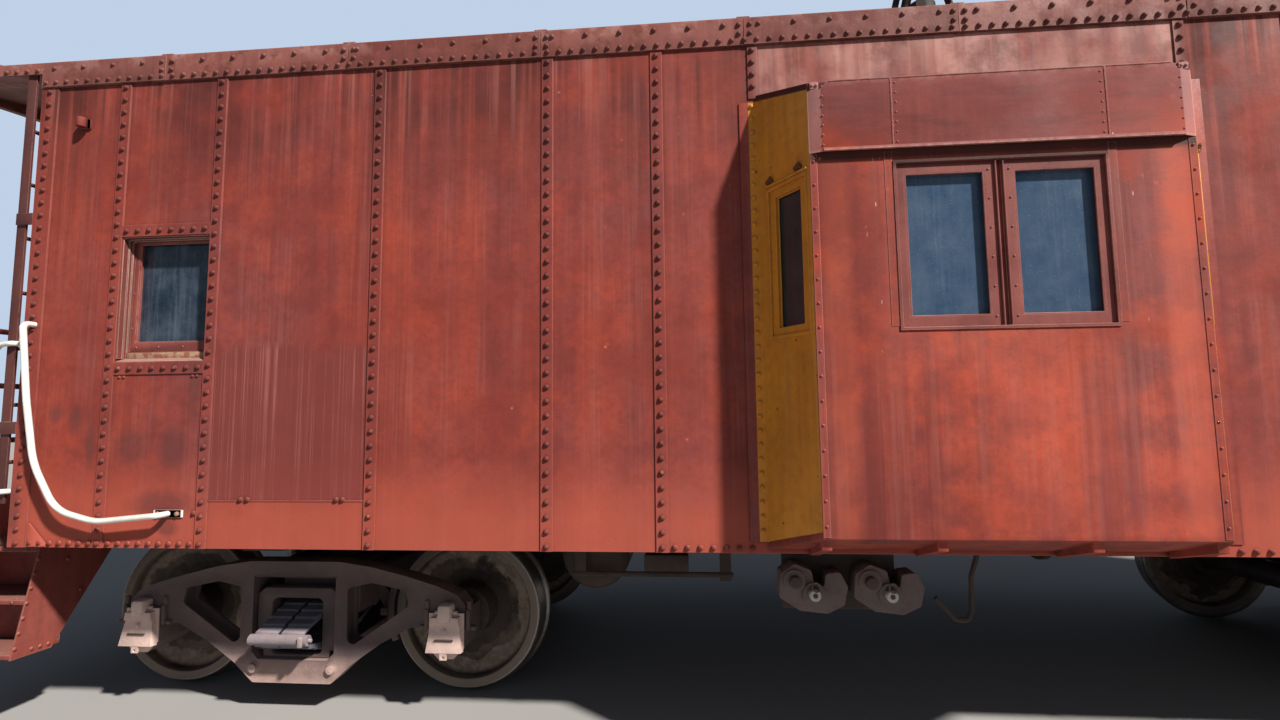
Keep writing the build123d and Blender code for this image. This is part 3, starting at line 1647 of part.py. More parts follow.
valve_x = -1390
valve_y = -body_half_width + 573
valve_low = 716
valve_high = 800
with BuildPart() as brake_valve:
    with BuildSketch(Plane.XY.offset(valve_low)):
        with Locations((valve_x, valve_y)):
            Rectangle(230, 180)
    extrude(amount=valve_high - valve_low)
    with BuildSketch(Plane.XY.offset(valve_high)):
        with Locations((valve_x, valve_y)):
            Rectangle(70, 120)
    extrude(amount=floor_low - valve_high)
save(brake_valve.part, "brake_valve")

rod_z = 675
rod_clearance = 50
rod_y = rod_clearance - reservoir_end
rod_left = -1900
rod_length = 860
rod_radius = 14
hanger_low = rod_z - 31
hanger_inset = 40
with BuildPart() as brake_rods:
    with BuildSketch(cross_plane(rod_left)):
        with Locations((-rod_y, rod_z)):
            Circle(rod_radius)
    extrude(amount=rod_length)
    with BuildSketch(near_plane(rod_y + 6)):
        for x in (rod_left + hanger_inset, rod_left + rod_length - hanger_inset):
            with Locations((x, (floor_low + hanger_low) / 2)):
                Rectangle(60, floor_low - hanger_low)
    extrude(amount=-12)
save(brake_rods.part, "brake_rods")


# Rack under the bay with two spare knuckles, and a hooked rod beside it
rack_y = sill_inner - 40
rack_left = -844
rack_right = -339
rack_low = 640
rack_high = 933
rack_plate = 12
rack_middle = (rack_left + rack_right) / 2
knuckle_places = (rack_left + 120, rack_right - 60)
knuckle_z = rack_low + 120
peg_radius = 20
with BuildPart() as knuckle_rack:
    with BuildSketch(near_plane(rack_y)):
        with Locations((rack_middle, (rack_low + rack_high) / 2)):
            Rectangle(rack_right - rack_left, rack_high - rack_low)
    extrude(amount=-rack_plate)
    for x in knuckle_places:
        with BuildSketch(near_plane(rack_y)):
            with Locations((x, knuckle_z)):
                Circle(peg_radius)
        extrude(amount=130)
    with BuildSketch(Plane.XY.offset(rack_high)):
        with Locations((rack_middle, -rack_y + rack_plate / 2)):
            Rectangle(rack_right - rack_left, rack_plate)
    extrude(amount=floor_low - rack_high)
save(knuckle_rack.part, "knuckle_rack")

# Outline of a knuckle seen from the side: a hub over the peg, a nose that curves back and a tail.
knuckle_outline = (
    (-62, -96),
    (58, -108),
    (132, -72),
    (150, 6),
    (118, 70),
    (56, 62),
    (48, 6),
    (8, 2),
    (-6, 76),
    (-78, 104),
    (-140, 62),
    (-150, -40),
)
knuckle_corner = 18
knuckle_depth = 110
hub_boss_radius = 48
hub_boss_height = 16
with BuildPart() as spare_knuckles:
    for x in knuckle_places:
        with BuildSketch(near_plane(rack_y + plate_gap)):
            with BuildLine():
                FilletPolyline(
                    *[(x + px, knuckle_z + pz) for px, pz in knuckle_outline],
                    radius=knuckle_corner,
                    close=True,
                )
            make_face()
        extrude(amount=knuckle_depth)
        with BuildSketch(near_plane(rack_y + plate_gap + knuckle_depth)):
            with Locations((x, knuckle_z - 20), (x - 82, knuckle_z + 34)):
                Circle(hub_boss_radius)
        extrude(amount=hub_boss_height)
        with BuildSketch(near_plane(rack_y)):
            with Locations((x, knuckle_z)):
                Circle(peg_radius + plate_gap)
        extrude(amount=130 + plate_gap, mode=Mode.SUBTRACT)
save(spare_knuckles.part, "spare_knuckles")

rod_path = ((22, 990), (22, 872), (-6, 790), (-11, 640), (-29, 600), (-80, 600), (-165, 695))
hook_radius = 11
hook_seat = rod_path[0][1] - 10
with BuildPart() as hooked_rod:
    with BuildLine() as rod_line:
        FilletPolyline(*[(x, -rack_y, z) for x, z in rod_path], radius=[40, 40, 20, 20, 24])
    with BuildSketch(Plane(origin=rod_line.wires()[0] @ 0, z_dir=rod_line.wires()[0] % 0)):
        Circle(hook_radius)
    sweep(path=rod_line.wires()[0])
    with BuildSketch(Plane.XY.offset(hook_seat)):
        with Locations((rod_path[0][0], -rack_y)):
            Rectangle(60, 40)
    extrude(amount=floor_low - hook_seat)
save(hooked_rod.part, "hooked_rod")


# Stove pipe on the roof behind the bay, its cap held above it by three splayed legs and a conduit
jack_x = 60
jack_y = -925
jack_radius = 75
jack_pipe_top = 3760
jack_cap_low = 4150
jack_cap_radius = 190
jack_cap_height = 90
jack_cap_taper = 58
leg_bearings = (9, 129, 249)
leg_cap_reach = 58
leg_spread = 0.305
leg_width = 46
leg_thickness = 10
leg_length = 900
conduit_radius = 25
conduit_shift = 58
pipe_low = fascia_top


def leg_plane(bearing, shift=0.0):
    """Plane at a leg's upper end, facing down along the leg; shift moves it along the car."""
    outward = Vector(1, 0, 0).rotate(Axis.Z, bearing)
    across = Vector(0, 1, 0).rotate(Axis.Z, bearing)
    top = Vector(jack_x + shift, jack_y, jack_cap_low + 2) + outward * leg_cap_reach
    return Plane(origin=top, x_dir=across, z_dir=outward * leg_spread - Vector(0, 0, 1))


with BuildPart() as below_roof:
    with BuildSketch(cross_plane(jack_x - leg_length)):
        with Locations((0, roof_centre)):
            Circle(roof_radius + curve_gap)
    extrude(amount=2 * leg_length)
    with BuildSketch(cross_plane(-roof_batten_width / 2 - curve_gap)):
        with Locations((0, roof_centre)):
            Circle(roof_radius + roof_batten_height + curve_gap)
    extrude(amount=roof_batten_width + 2 * curve_gap)

with BuildPart() as smoke_jack:
    with BuildSketch(Plane.XY.offset(pipe_low)):
        with Locations((jack_x, jack_y)):
            Circle(jack_radius)
    extrude(amount=jack_pipe_top - pipe_low)
    for bearing in leg_bearings:
        with BuildSketch(leg_plane(bearing)):
            Rectangle(leg_width, leg_thickness)
        extrude(amount=leg_length)
    with BuildSketch(leg_plane(leg_bearings[1], conduit_shift)):
        Circle(conduit_radius)
    extrude(amount=leg_length)
    add(below_roof.part, mode=Mode.SUBTRACT)
    with BuildSketch(Plane.XY.offset(jack_cap_low)):
        with Locations((jack_x, jack_y)):
            Circle(jack_cap_radius)
    extrude(amount=jack_cap_height, taper=jack_cap_taper)
save(smoke_jack.part, "smoke_jack")


# Lamp brackets on the body's corners
bracket_x = half_length - 260
bracket_z = eave - 207
bracket_width = 60
bracket_height = 50
bracket_plate = 10
cup_radius = 22
cup_height = 46
with BuildPart() as marker_brackets:
    with BuildSketch(near_plane(body_half_width)):
        with Locations((-bracket_x, bracket_z)):
            Rectangle(bracket_width, bracket_height)
    extrude(amount=bracket_plate)
    with BuildSketch(Plane.XY.offset(bracket_z - cup_height / 2)):
        with Locations((-bracket_x, -body_half_width - bracket_plate - cup_radius + 4)):
            Circle(cup_radius)
    extrude(amount=cup_height)
    mirror(about=Plane.YZ)
    mirror(about=Plane.XZ)
save(marker_brackets.part, "marker_brackets")


# Seats in the bays, one at each side of the window
seat_width = 420
seat_depth = 500
seat_height = 470
seat_back_height = 640
seat_back_thickness = 90
seat_clearance = 20
seat_front_y = bay_inner_front - 120
seat_x = cheek_x(seat_front_y, cheek_inset) - seat_clearance - seat_width / 2
seat_y = seat_front_y - seat_depth / 2
back_x = seat_x + (seat_width - seat_back_thickness) / 2
with BuildPart() as bay_seats:
    for x in (-seat_x, seat_x):
        with BuildSketch(Plane.XY.offset(floor_top)):
            with Locations((x, -seat_y), (x, seat_y)):
                Rectangle(seat_width, seat_depth)
        extrude(amount=seat_height)
    for x in (-back_x, back_x):
        with BuildSketch(Plane.XY.offset(floor_top + seat_height)):
            with Locations((x, -seat_y), (x, seat_y)):
                Rectangle(seat_back_thickness, seat_depth)
        extrude(amount=seat_back_height)
save(bay_seats.part, "bay_seats")


# Stove across the cabin from the pipe
stove_length = 520
stove_depth = 480
stove_height = 760
locker_gap = 8
with BuildPart() as stove:
    with BuildSketch(Plane.XY.offset(floor_top)):
        with Locations((bay_half_base + stove_length, inner_half_width - stove_depth / 2 - 10 * locker_gap)):
            Rectangle(stove_length, stove_depth)
    extrude(amount=stove_height)
save(stove.part, "stove")


# Lockers along the walls. Columns: side, distance of the middle from the end wall, length, height.
locker_depth = 600
locker_table = (
    (1, -1, 1972, 1900, 480),
    (-1, 1, 1972, 1900, 480),
    (1, 1, 1472, 900, 1900),
)
with BuildPart() as lockers:
    for side, end, inset, length, height in locker_table:
        with BuildSketch(Plane.XY.offset(floor_top)):
            with Locations(
                (end * (half_length - inset), side * (inner_half_width - locker_gap - locker_depth / 2))
            ):
                Rectangle(length, locker_depth)
        extrude(amount=height)
save(lockers.part, "lockers")
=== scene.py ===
"""Looks of a bay-window caboose: camera, studio, weathered finishes, rivets, castings and small fittings.

Metres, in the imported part's frame: X runs along the car, the photographed side is at -Y, +Z is up,
and z = 0 is where the wheel flanges end. End A is at -X and end B at +X.
"""

import json
from math import atan, cos, pi, radians, sin, sqrt

import bpy
from mathutils import Matrix, Vector


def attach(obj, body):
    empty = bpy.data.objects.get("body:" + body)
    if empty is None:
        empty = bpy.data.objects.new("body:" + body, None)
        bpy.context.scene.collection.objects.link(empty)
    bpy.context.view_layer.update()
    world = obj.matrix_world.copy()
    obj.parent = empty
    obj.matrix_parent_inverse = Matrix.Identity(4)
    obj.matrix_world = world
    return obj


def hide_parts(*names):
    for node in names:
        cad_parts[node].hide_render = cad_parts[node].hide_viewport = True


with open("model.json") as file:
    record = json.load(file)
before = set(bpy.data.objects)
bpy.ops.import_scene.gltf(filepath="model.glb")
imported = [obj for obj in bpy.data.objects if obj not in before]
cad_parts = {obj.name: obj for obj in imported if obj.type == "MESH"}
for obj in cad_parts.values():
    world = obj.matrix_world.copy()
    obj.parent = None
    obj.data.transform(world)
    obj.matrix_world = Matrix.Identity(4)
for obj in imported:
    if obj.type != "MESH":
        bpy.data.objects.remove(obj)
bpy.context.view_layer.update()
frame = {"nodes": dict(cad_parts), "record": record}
cad = frame["nodes"]
slot_of_node = {part["node"]: part["material_slot"] for part in frame["record"]["subparts"]}
bodies = frame["record"]["behaviour"]["bodies"]
body_of_node = {node: body for body, members in bodies.items() for node in members}

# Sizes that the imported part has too
HALF_LENGTH = 4.572
HALF_WIDTH = 1.473
STRAP_FACE = 1.479
FASCIA_FACE = 1.483
EAVE = 3.251
FASCIA_TOP = 3.388
ROOF_RISE = 0.220
PLATFORM_END = 5.332
TRUCK_X = 3.353
WHEELBASE = 1.676
AXLE_Z = 0.4444
SHEET_PITCH = 0.970
STRAP_COLUMNS = (4.5245, 4.0985, 3.5735, 2.743, 1.907, 1.384)
SIDE_WINDOW_X = 3.836
SIDE_WINDOW_LOW = 1.814
SIDE_WINDOW_TOP = 2.445
SIDE_WINDOW_HALF = 0.235
BAY_WINDOW_Z = 2.202
CHEEK_WINDOW_Z = 2.192
CHEEK_ANGLE = atan(0.277 / 0.181)
CHEEK_MIDDLE = Vector((-0.8345, -1.6115, 0))
LADDER_PLATES = (1.500, 2.560)
SPARE_KNUCKLES_X = (-0.724, -0.399)

# Places that a finish and a fitting share
PANEL_LEFT = -3.546
PANEL_RIGHT = -2.7705
PANEL_LOW = 1.146
HOOD_SEAM_X = 0.412


# Camera and studio

def set_camera():
    """Stands where the photograph was taken, close to the car and a little left of the bay."""
    yaw, pitch, roll = -0.0835866, 0.0874564, 0.0111126
    place = Matrix.Translation((-1.2468, -4.1969, 1.5402))
    ahead = Vector((sin(yaw) * cos(pitch), cos(yaw) * cos(pitch), sin(pitch)))
    right = Vector((cos(yaw), -sin(yaw), 0.0))
    down = ahead.cross(right)
    across = right * cos(roll) + down * sin(roll)
    upright = right * sin(roll) - down * cos(roll)
    view = bpy.data.cameras.new("photo_view")
    view.lens = 16.921
    view.sensor_width = 36.0
    view.clip_start = 0.05
    view.clip_end = 200.0
    stand = bpy.data.objects.new("photo_view", view)
    stand.matrix_world = place @ Matrix((across, upright, -ahead)).transposed().to_4x4()
    bpy.context.collection.objects.link(stand)
    bpy.context.scene.camera = stand


def set_studio():
    """An even pale blue surround and one soft high light from the right and the front."""
    world = bpy.data.worlds.new("studio")
    world.use_nodes = True
    nodes = Nodes(world.node_tree)
    background = world.node_tree.nodes["Background"].inputs
    seen = nodes.put("ShaderNodeLightPath")["Is Camera Ray"]
    nodes.give(background["Color"], (0.66, 0.80, 1.0))
    nodes.give(background["Strength"], nodes.spread(seen, 0.22, 0.80))
    bpy.context.scene.world = world
    sun = bpy.data.lights.new("key", "SUN")
    sun.energy = 7.4
    sun.angle = radians(2.8)
    sun.color = (1.0, 0.95, 0.88)
    lamp = bpy.data.objects.new("key", sun)
    lamp.rotation_mode = "QUATERNION"
    lamp.rotation_quaternion = Vector((-1.39, 1.0, -1.56)).to_track_quat("-Z", "Y")
    bpy.context.collection.objects.link(lamp)
    bpy.context.scene.view_settings.view_transform = "Standard"


def lay_floor():
    """A pale floor under the wheels, which isn't part of the car."""
    leave_all()
    bpy.ops.mesh.primitive_plane_add(size=120.0, location=(0, 0, 0))
    studio_floor = bpy.context.object
    studio_floor.name = "studio_floor"
    studio_floor.data.materials.append(floor_finish())


# Shader trees

class Nodes:
    """Builds one shader tree. Values are plain numbers and colours, or the outputs of other nodes."""

    def __init__(self, tree):
        self.tree = tree
        self.place = None
        self.colour = None

    def give(self, socket, value):
        """Links a socket to an output, or sets it to a plain value."""
        if isinstance(value, bpy.types.NodeSocket):
            self.tree.links.new(value, socket)
        elif socket.type == "RGBA":
            socket.default_value = (*value, 1.0)
        else:
            socket.default_value = value

    def put(self, kind, sockets=None, **settings):
        """Adds a node, its sockets given by name or number, and returns its outputs."""
        made = self.tree.nodes.new(kind)
        for name, value in settings.items():
            setattr(made, name, value)
        for name, value in (sockets or {}).items():
            self.give(made.inputs[name], value)
        return made.outputs

    def span(self, value, low, high, to_low=0.0, to_high=1.0):
        """Stretches the part of a value between low and high over another span, and clamps it."""
        ends = {"From Min": low, "From Max": high, "To Min": to_low, "To Max": to_high}
        return self.put("ShaderNodeMapRange", {"Value": value, **ends})["Result"]

    def spread(self, mask, low, high):
        """Takes a mask from 0 to 1 over to low to high."""
        return self.span(mask, 0.0, 1.0, low, high)

    def work(self, operation, first, second=0.0, clamp=False):
        """One sum on one or two values."""
        return self.put("ShaderNodeMath", {0: first, 1: second}, operation=operation, use_clamp=clamp)[0]

    def vector(self, operation, first, second=(0.0, 0.0, 0.0)):
        """One sum on vectors: its outputs are the Vector and, for a length or dot product, the Value."""
        return self.put("ShaderNodeVectorMath", {0: first, 1: second}, operation=operation)

    def times(self, first, *others):
        """The product of all the values."""
        for other in others:
            first = self.work("MULTIPLY", first, other)
        return first

    def plus(self, first, second):
        return self.work("ADD", first, second)

    def minus(self, first, second):
        return self.work("SUBTRACT", first, second)

    def size(self, value):
        return self.work("ABSOLUTE", value)

    def away(self, value, middle):
        """How far a value is from a middle."""
        return self.size(self.minus(value, middle))

    def over(self, value, limit):
        return self.work("GREATER_THAN", value, limit)

    def under(self, value, limit):
        return self.work("LESS_THAN", value, limit)

    def tint(self, amount, under, over):
        """Lays a colour over another by an amount."""
        sockets = {0: amount, 6: under, 7: over}
        return self.put("ShaderNodeMix", sockets, data_type="RGBA", clamp_factor=True)[2]

    def lay(self, colour, *amounts):
        """Lays a colour over what has been laid so far, by the product of the amounts."""
        self.colour = self.tint(self.times(*amounts), self.colour, colour)

    def scaled(self, factors):
        """The tree's coordinates, stretched along each axis."""
        return self.vector("MULTIPLY", self.place, factors)[0]

    def noise(self, scale, detail=2.0, roughness=0.5, place=None):
        """Cloudy noise from 0 to 1."""
        at = self.place if place is None else place
        sockets = {"Vector": at, "Scale": scale, "Detail": detail, "Roughness": roughness}
        return self.put("ShaderNodeTexNoise", sockets)["Fac"]

    def effect(self, group, place=None, **sockets):
        """Places a shared effect, drawn at the tree's own coordinates unless others are given."""
        sockets["Place"] = self.place if place is None else place
        return self.put("ShaderNodeGroup", sockets, node_tree=group)[0]

    def blotches(self, scale, low, high, place=None):
        return self.effect(BLOTCHES, place, Scale=scale, Low=low, High=high)

    def streaks(self, across, down, low, high):
        return self.effect(STREAKS, Across=across, Down=down, Low=low, High=high)

    def specks(self, scale, size, share, place=None):
        return self.effect(SPECKS, place, Scale=scale, Size=size, Share=share)


class Finish(Nodes):
    """A material in the making, in its piece's own coordinates."""

    def __init__(self, name, specular=0.20):
        self.material = bpy.data.materials.new(name)
        self.material.use_nodes = True
        super().__init__(self.material.node_tree)
        self.shader = self.tree.nodes["Principled BSDF"].inputs
        self.give(self.shader["Specular IOR Level"], specular)
        self.place = self.put("ShaderNodeTexCoord")["Object"]
        self.x, self.y, self.z = self.put("ShaderNodeSeparateXYZ", {0: self.place})

    def settle_dust(self, colour, level, cling, scale):
        """Lays dust on what faces up, and returns where it lies."""
        settled = self.effect(DUST, Level=level, Cling=cling, Scale=scale)
        self.lay(colour, settled)
        return settled

    def wear_edges(self, colour, amount, width, grain, reach):
        """Lays bare or pale paint on the outer corners."""
        self.lay(colour, self.effect(WORN_EDGES, Width=width, Grain=grain, Reach=reach), amount)

    def soil_and_shade_crevices(self, amount):
        """Lays dark dirt and painted shade where surfaces meet."""
        self.lay(OXIDE_STAIN, self.effect(CREVICE_DIRT_AND_SHADE, Reach=0.035), amount)

    def flake(self, amount=1.0):
        """Lays small losses of paint."""
        self.colour = self.effect(FLAKING, Under=self.colour, Amount=amount)

    def sheet_form(self, waves, tooth):
        return self.effect(SHEET_FORM, Waves=waves, Tooth=tooth)

    def surface(self, roughness, height=None, strength=0.5):
        """Gives the shader its roughness and its bump."""
        self.give(self.shader["Roughness"], roughness)
        if height is not None:
            sockets = {"Height": height, "Strength": strength, "Distance": 1.0}
            self.give(self.shader["Normal"], self.put("ShaderNodeBump", sockets)[0])

    def closed(self):
        """Gives the shader the colour that has been laid, and returns the material."""
        self.give(self.shader["Base Color"], self.colour)
        return self.material


# Shared effects

def new_group(name, output, **inputs):
    """An empty shared effect: its nodes, what it is given besides its place, and its one output."""
    tree = bpy.data.node_groups.new(name, "ShaderNodeTree")
    tree.interface.new_socket("Place", in_out="INPUT", socket_type="NodeSocketVector")
    for label, value in inputs.items():
        kind = "Float" if isinstance(value, float) else "Vector" if len(value) == 3 else "Color"
        socket = tree.interface.new_socket(label, in_out="INPUT", socket_type="NodeSocket" + kind)
        socket.default_value = value
    kind = "Color" if output == "Color" else "Float"
    tree.interface.new_socket(output, in_out="OUTPUT", socket_type="NodeSocket" + kind)
    nodes = Nodes(tree)
    given = tree.nodes.new("NodeGroupInput").outputs
    nodes.place = given["Place"]
    return nodes, given, tree.nodes.new("NodeGroupOutput").inputs[0]


def make_blotches():
    """Cloudy patches with ragged rims."""
    nodes, given, out = new_group("blotches", "Mask", Scale=2.0, Low=0.45, High=0.6)
    cloud = nodes.noise(given["Scale"], 8.0, 0.62)
    nodes.give(out, nodes.span(cloud, given["Low"], given["High"]))
    return nodes.tree


def make_streaks():
    """Upright runs left by rain: fine across, long downwards, in a few strong bunches."""
    nodes, given, out = new_group("rain_streaks", "Mask", Across=22.0, Down=0.9, Low=0.5, High=0.72)
    factors = {"X": given["Across"], "Y": given["Across"], "Z": given["Down"]}
    drawn = nodes.scaled(nodes.put("ShaderNodeCombineXYZ", factors)[0])
    fine = nodes.noise(1.0, 3.0, 0.55, drawn)
    bunch = nodes.span(nodes.noise(0.16, place=drawn), 0.3, 0.7, 0.72, 1.28)
    shaped = nodes.span(nodes.times(fine, bunch), given["Low"], given["High"])
    patchy = nodes.span(nodes.noise(2.6, 5.0), 0.36, 0.58, 0.20, 1.0)
    nodes.give(out, nodes.times(shaped, patchy))
    return nodes.tree


def make_worn_edges():
    """Where an outer corner has lost its paint: the rounded normal against the true one, with noise."""
    nodes, given, out = new_group("worn_edges", "Mask", Width=0.006, Grain=40.0, Reach=0.5)
    rounded = nodes.put("ShaderNodeBevel", {"Radius": given["Width"]}, samples=4)[0]
    true = nodes.put("ShaderNodeNewGeometry")["Normal"]
    corner = nodes.span(nodes.vector("DOT_PRODUCT", rounded, true)["Value"], 0.985, 0.80)
    chips = nodes.plus(nodes.noise(given["Grain"], 4.0), nodes.minus(given["Reach"], 0.5))
    nodes.give(out, nodes.times(corner, nodes.span(chips, 0.42, 0.62)))
    return nodes.tree


def make_dust():
    """Dust that settles on what faces up, and clings a little everywhere."""
    nodes, given, out = new_group("settled_dust", "Mask", Level=0.6, Cling=0.15, Scale=6.0)
    normal = nodes.put("ShaderNodeNewGeometry")["Normal"]
    flat = nodes.span(nodes.put("ShaderNodeSeparateXYZ", {0: normal})["Z"], 0.15, 0.9)
    cloud = nodes.noise(given["Scale"], 6.0, 0.65)
    lying = nodes.times(flat, given["Level"], nodes.span(cloud, 0.25, 0.55, 0.55, 1.0))
    clinging = nodes.times(nodes.span(cloud, 0.3, 0.7), given["Cling"])
    nodes.give(out, nodes.work("ADD", lying, clinging, clamp=True))
    return nodes.tree


def make_specks():
    """Small chips and stone marks with ragged rims, in a share of the cells of a Voronoi pattern."""
    nodes, given, out = new_group("specks", "Mask", Scale=20.0, Size=0.12, Share=0.35)
    sockets = {"Vector": given["Place"], "Scale": given["Scale"], "Randomness": 1.0}
    cell = nodes.put("ShaderNodeTexVoronoi", sockets)
    ragged = nodes.times(nodes.noise(nodes.times(given["Scale"], 3.5), 4.0), 0.34)
    reach = nodes.minus(nodes.plus(given["Size"], 0.17), nodes.plus(cell["Distance"], ragged))
    choice = nodes.put("ShaderNodeSeparateColor", {0: cell["Color"]})[0]
    nodes.give(out, nodes.times(nodes.span(reach, 0.0, 0.03), nodes.under(choice, given["Share"])))
    return nodes.tree


def make_smudge():
    """One soft oval rub mark on a side sheet, at a given place and of a given size."""
    centre, stretch = (0.0, 0.0, 0.0), (8.0, 8.0, 8.0)
    nodes, given, out = new_group("smudge", "Mask", Centre=centre, Stretch=stretch, Ragged=0.5)
    away = nodes.vector("SUBTRACT", given["Place"], given["Centre"])[0]
    reach = nodes.vector("LENGTH", nodes.vector("MULTIPLY", away, given["Stretch"])[0])["Value"]
    edge = nodes.plus(reach, nodes.times(nodes.noise(22.0, 5.0), given["Ragged"]))
    nodes.give(out, nodes.span(edge, 1.35, 0.75))
    return nodes.tree


def make_sheet_form():
    """Height of a painted steel sheet: shallow waves from the frames behind it, and its fine tooth."""
    nodes, given, out = new_group("sheet_form", "Height", Waves=1.0, Tooth=1.0)
    waves = nodes.times(nodes.noise(1.7), given["Waves"], 0.012)
    tooth = nodes.times(nodes.noise(90.0, 4.0), given["Tooth"], 0.0008)
    nodes.give(out, nodes.plus(waves, tooth))
    return nodes.tree


def make_crevice_dirt_and_shade():
    """Dirt and painted shade where surfaces meet, where ambient occlusion finds them: round rivet heads,
    along straps and under ledges.
    """
    nodes, given, out = new_group("crevice_dirt_and_shade", "Mask", Reach=0.03)
    reach = {"Distance": given["Reach"]}
    open_air = nodes.put("ShaderNodeAmbientOcclusion", reach, samples=4, only_local=False)["AO"]
    strength = nodes.span(nodes.noise(9.0, 4.0), 0.35, 0.60, 0.55, 1.0)
    nodes.give(out, nodes.times(nodes.span(open_air, 0.97, 0.55), strength))
    return nodes.tree


BLOTCHES = make_blotches()
STREAKS = make_streaks()
WORN_EDGES = make_worn_edges()
DUST = make_dust()
SPECKS = make_specks()
SMUDGE = make_smudge()
SHEET_FORM = make_sheet_form()
CREVICE_DIRT_AND_SHADE = make_crevice_dirt_and_shade()

# Colours that several finishes share
OXIDE = (0.215, 0.036, 0.026)
OXIDE_DEEP = (0.135, 0.025, 0.021)
OXIDE_FADED = (0.36, 0.140, 0.115)
OXIDE_STAIN = (0.060, 0.015, 0.013)
GREYED_MAROON = (0.200, 0.052, 0.050)
WORN_ORANGE = (0.400, 0.060, 0.028)
BLEACHED_PINK = (0.46, 0.225, 0.195)
PALE_CHIP = (0.60, 0.42, 0.36)
RUST_BARE = (0.115, 0.034, 0.018)
RIVET_DARK = (0.085, 0.024, 0.020)


def make_two_tone():
    """Old oxide paint: greyed maroon with upright bands of orange-red, cloudy, with hair-fine runs."""
    nodes, given, out = new_group("two_tone_paint", "Color", Bands=7.0, Share=0.5)
    share = given["Share"]
    nodes.colour = nodes.tint(nodes.times(nodes.blotches(1.3, 0.38, 0.62), 0.8), OXIDE, GREYED_MAROON)
    nodes.lay(WORN_ORANGE, nodes.blotches(3.6, 0.47, 0.62), share, 0.8)
    nodes.lay(OXIDE_DEEP, nodes.blotches(8.0, 0.44, 0.64), 0.50)
    nodes.lay(WORN_ORANGE, nodes.streaks(given["Bands"], 0.45, 0.40, 0.60), share)
    nodes.lay(OXIDE_DEEP, nodes.streaks(17.0, 0.5, 0.48, 0.66), 0.50)
    nodes.lay(OXIDE_DEEP, nodes.blotches(30.0, 0.44, 0.66), 0.30)
    nodes.lay(OXIDE_FADED, nodes.streaks(70.0, 1.4, 0.50, 0.70), 0.16)
    nodes.give(out, nodes.colour)
    return nodes.tree


def make_flaking():
    """Paint losses: small pale flakes in loose groups, each with a red halo round it."""
    under = (0.2, 0.04, 0.03, 1.0)
    nodes, given, out = new_group("flaking_paint", "Color", Under=under, Amount=1.0)
    near = nodes.times(nodes.blotches(3.2, 0.50, 0.62), given["Amount"])
    nodes.colour = given["Under"]
    nodes.lay(WORN_ORANGE, nodes.specks(14.0, 0.16, 0.30), near, 0.65)
    nodes.lay(PALE_CHIP, nodes.specks(14.0, 0.045, 0.30), near, 0.9)
    nodes.give(out, nodes.colour)
    return nodes.tree


TWO_TONE = make_two_tone()
FLAKING = make_flaking()


# Finishes of the body

# Rub marks on the near side. Columns: x, z, half width, half height.
RUB_MARKS = (
    (-4.367, 1.566, 0.045, 0.060),
    (-4.268, 1.535, 0.040, 0.085),
    (-4.173, 1.413, 0.030, 0.130),
    (-3.962, 1.402, 0.110, 0.110),
    (-3.742, 1.395, 0.090, 0.120),
    (-3.640, 1.700, 0.045, 0.230),
    (-3.777, 1.130, 0.200, 0.075),
    (-3.750, 1.020, 0.070, 0.050),
    (-4.560, 1.100, 0.050, 0.160),
)


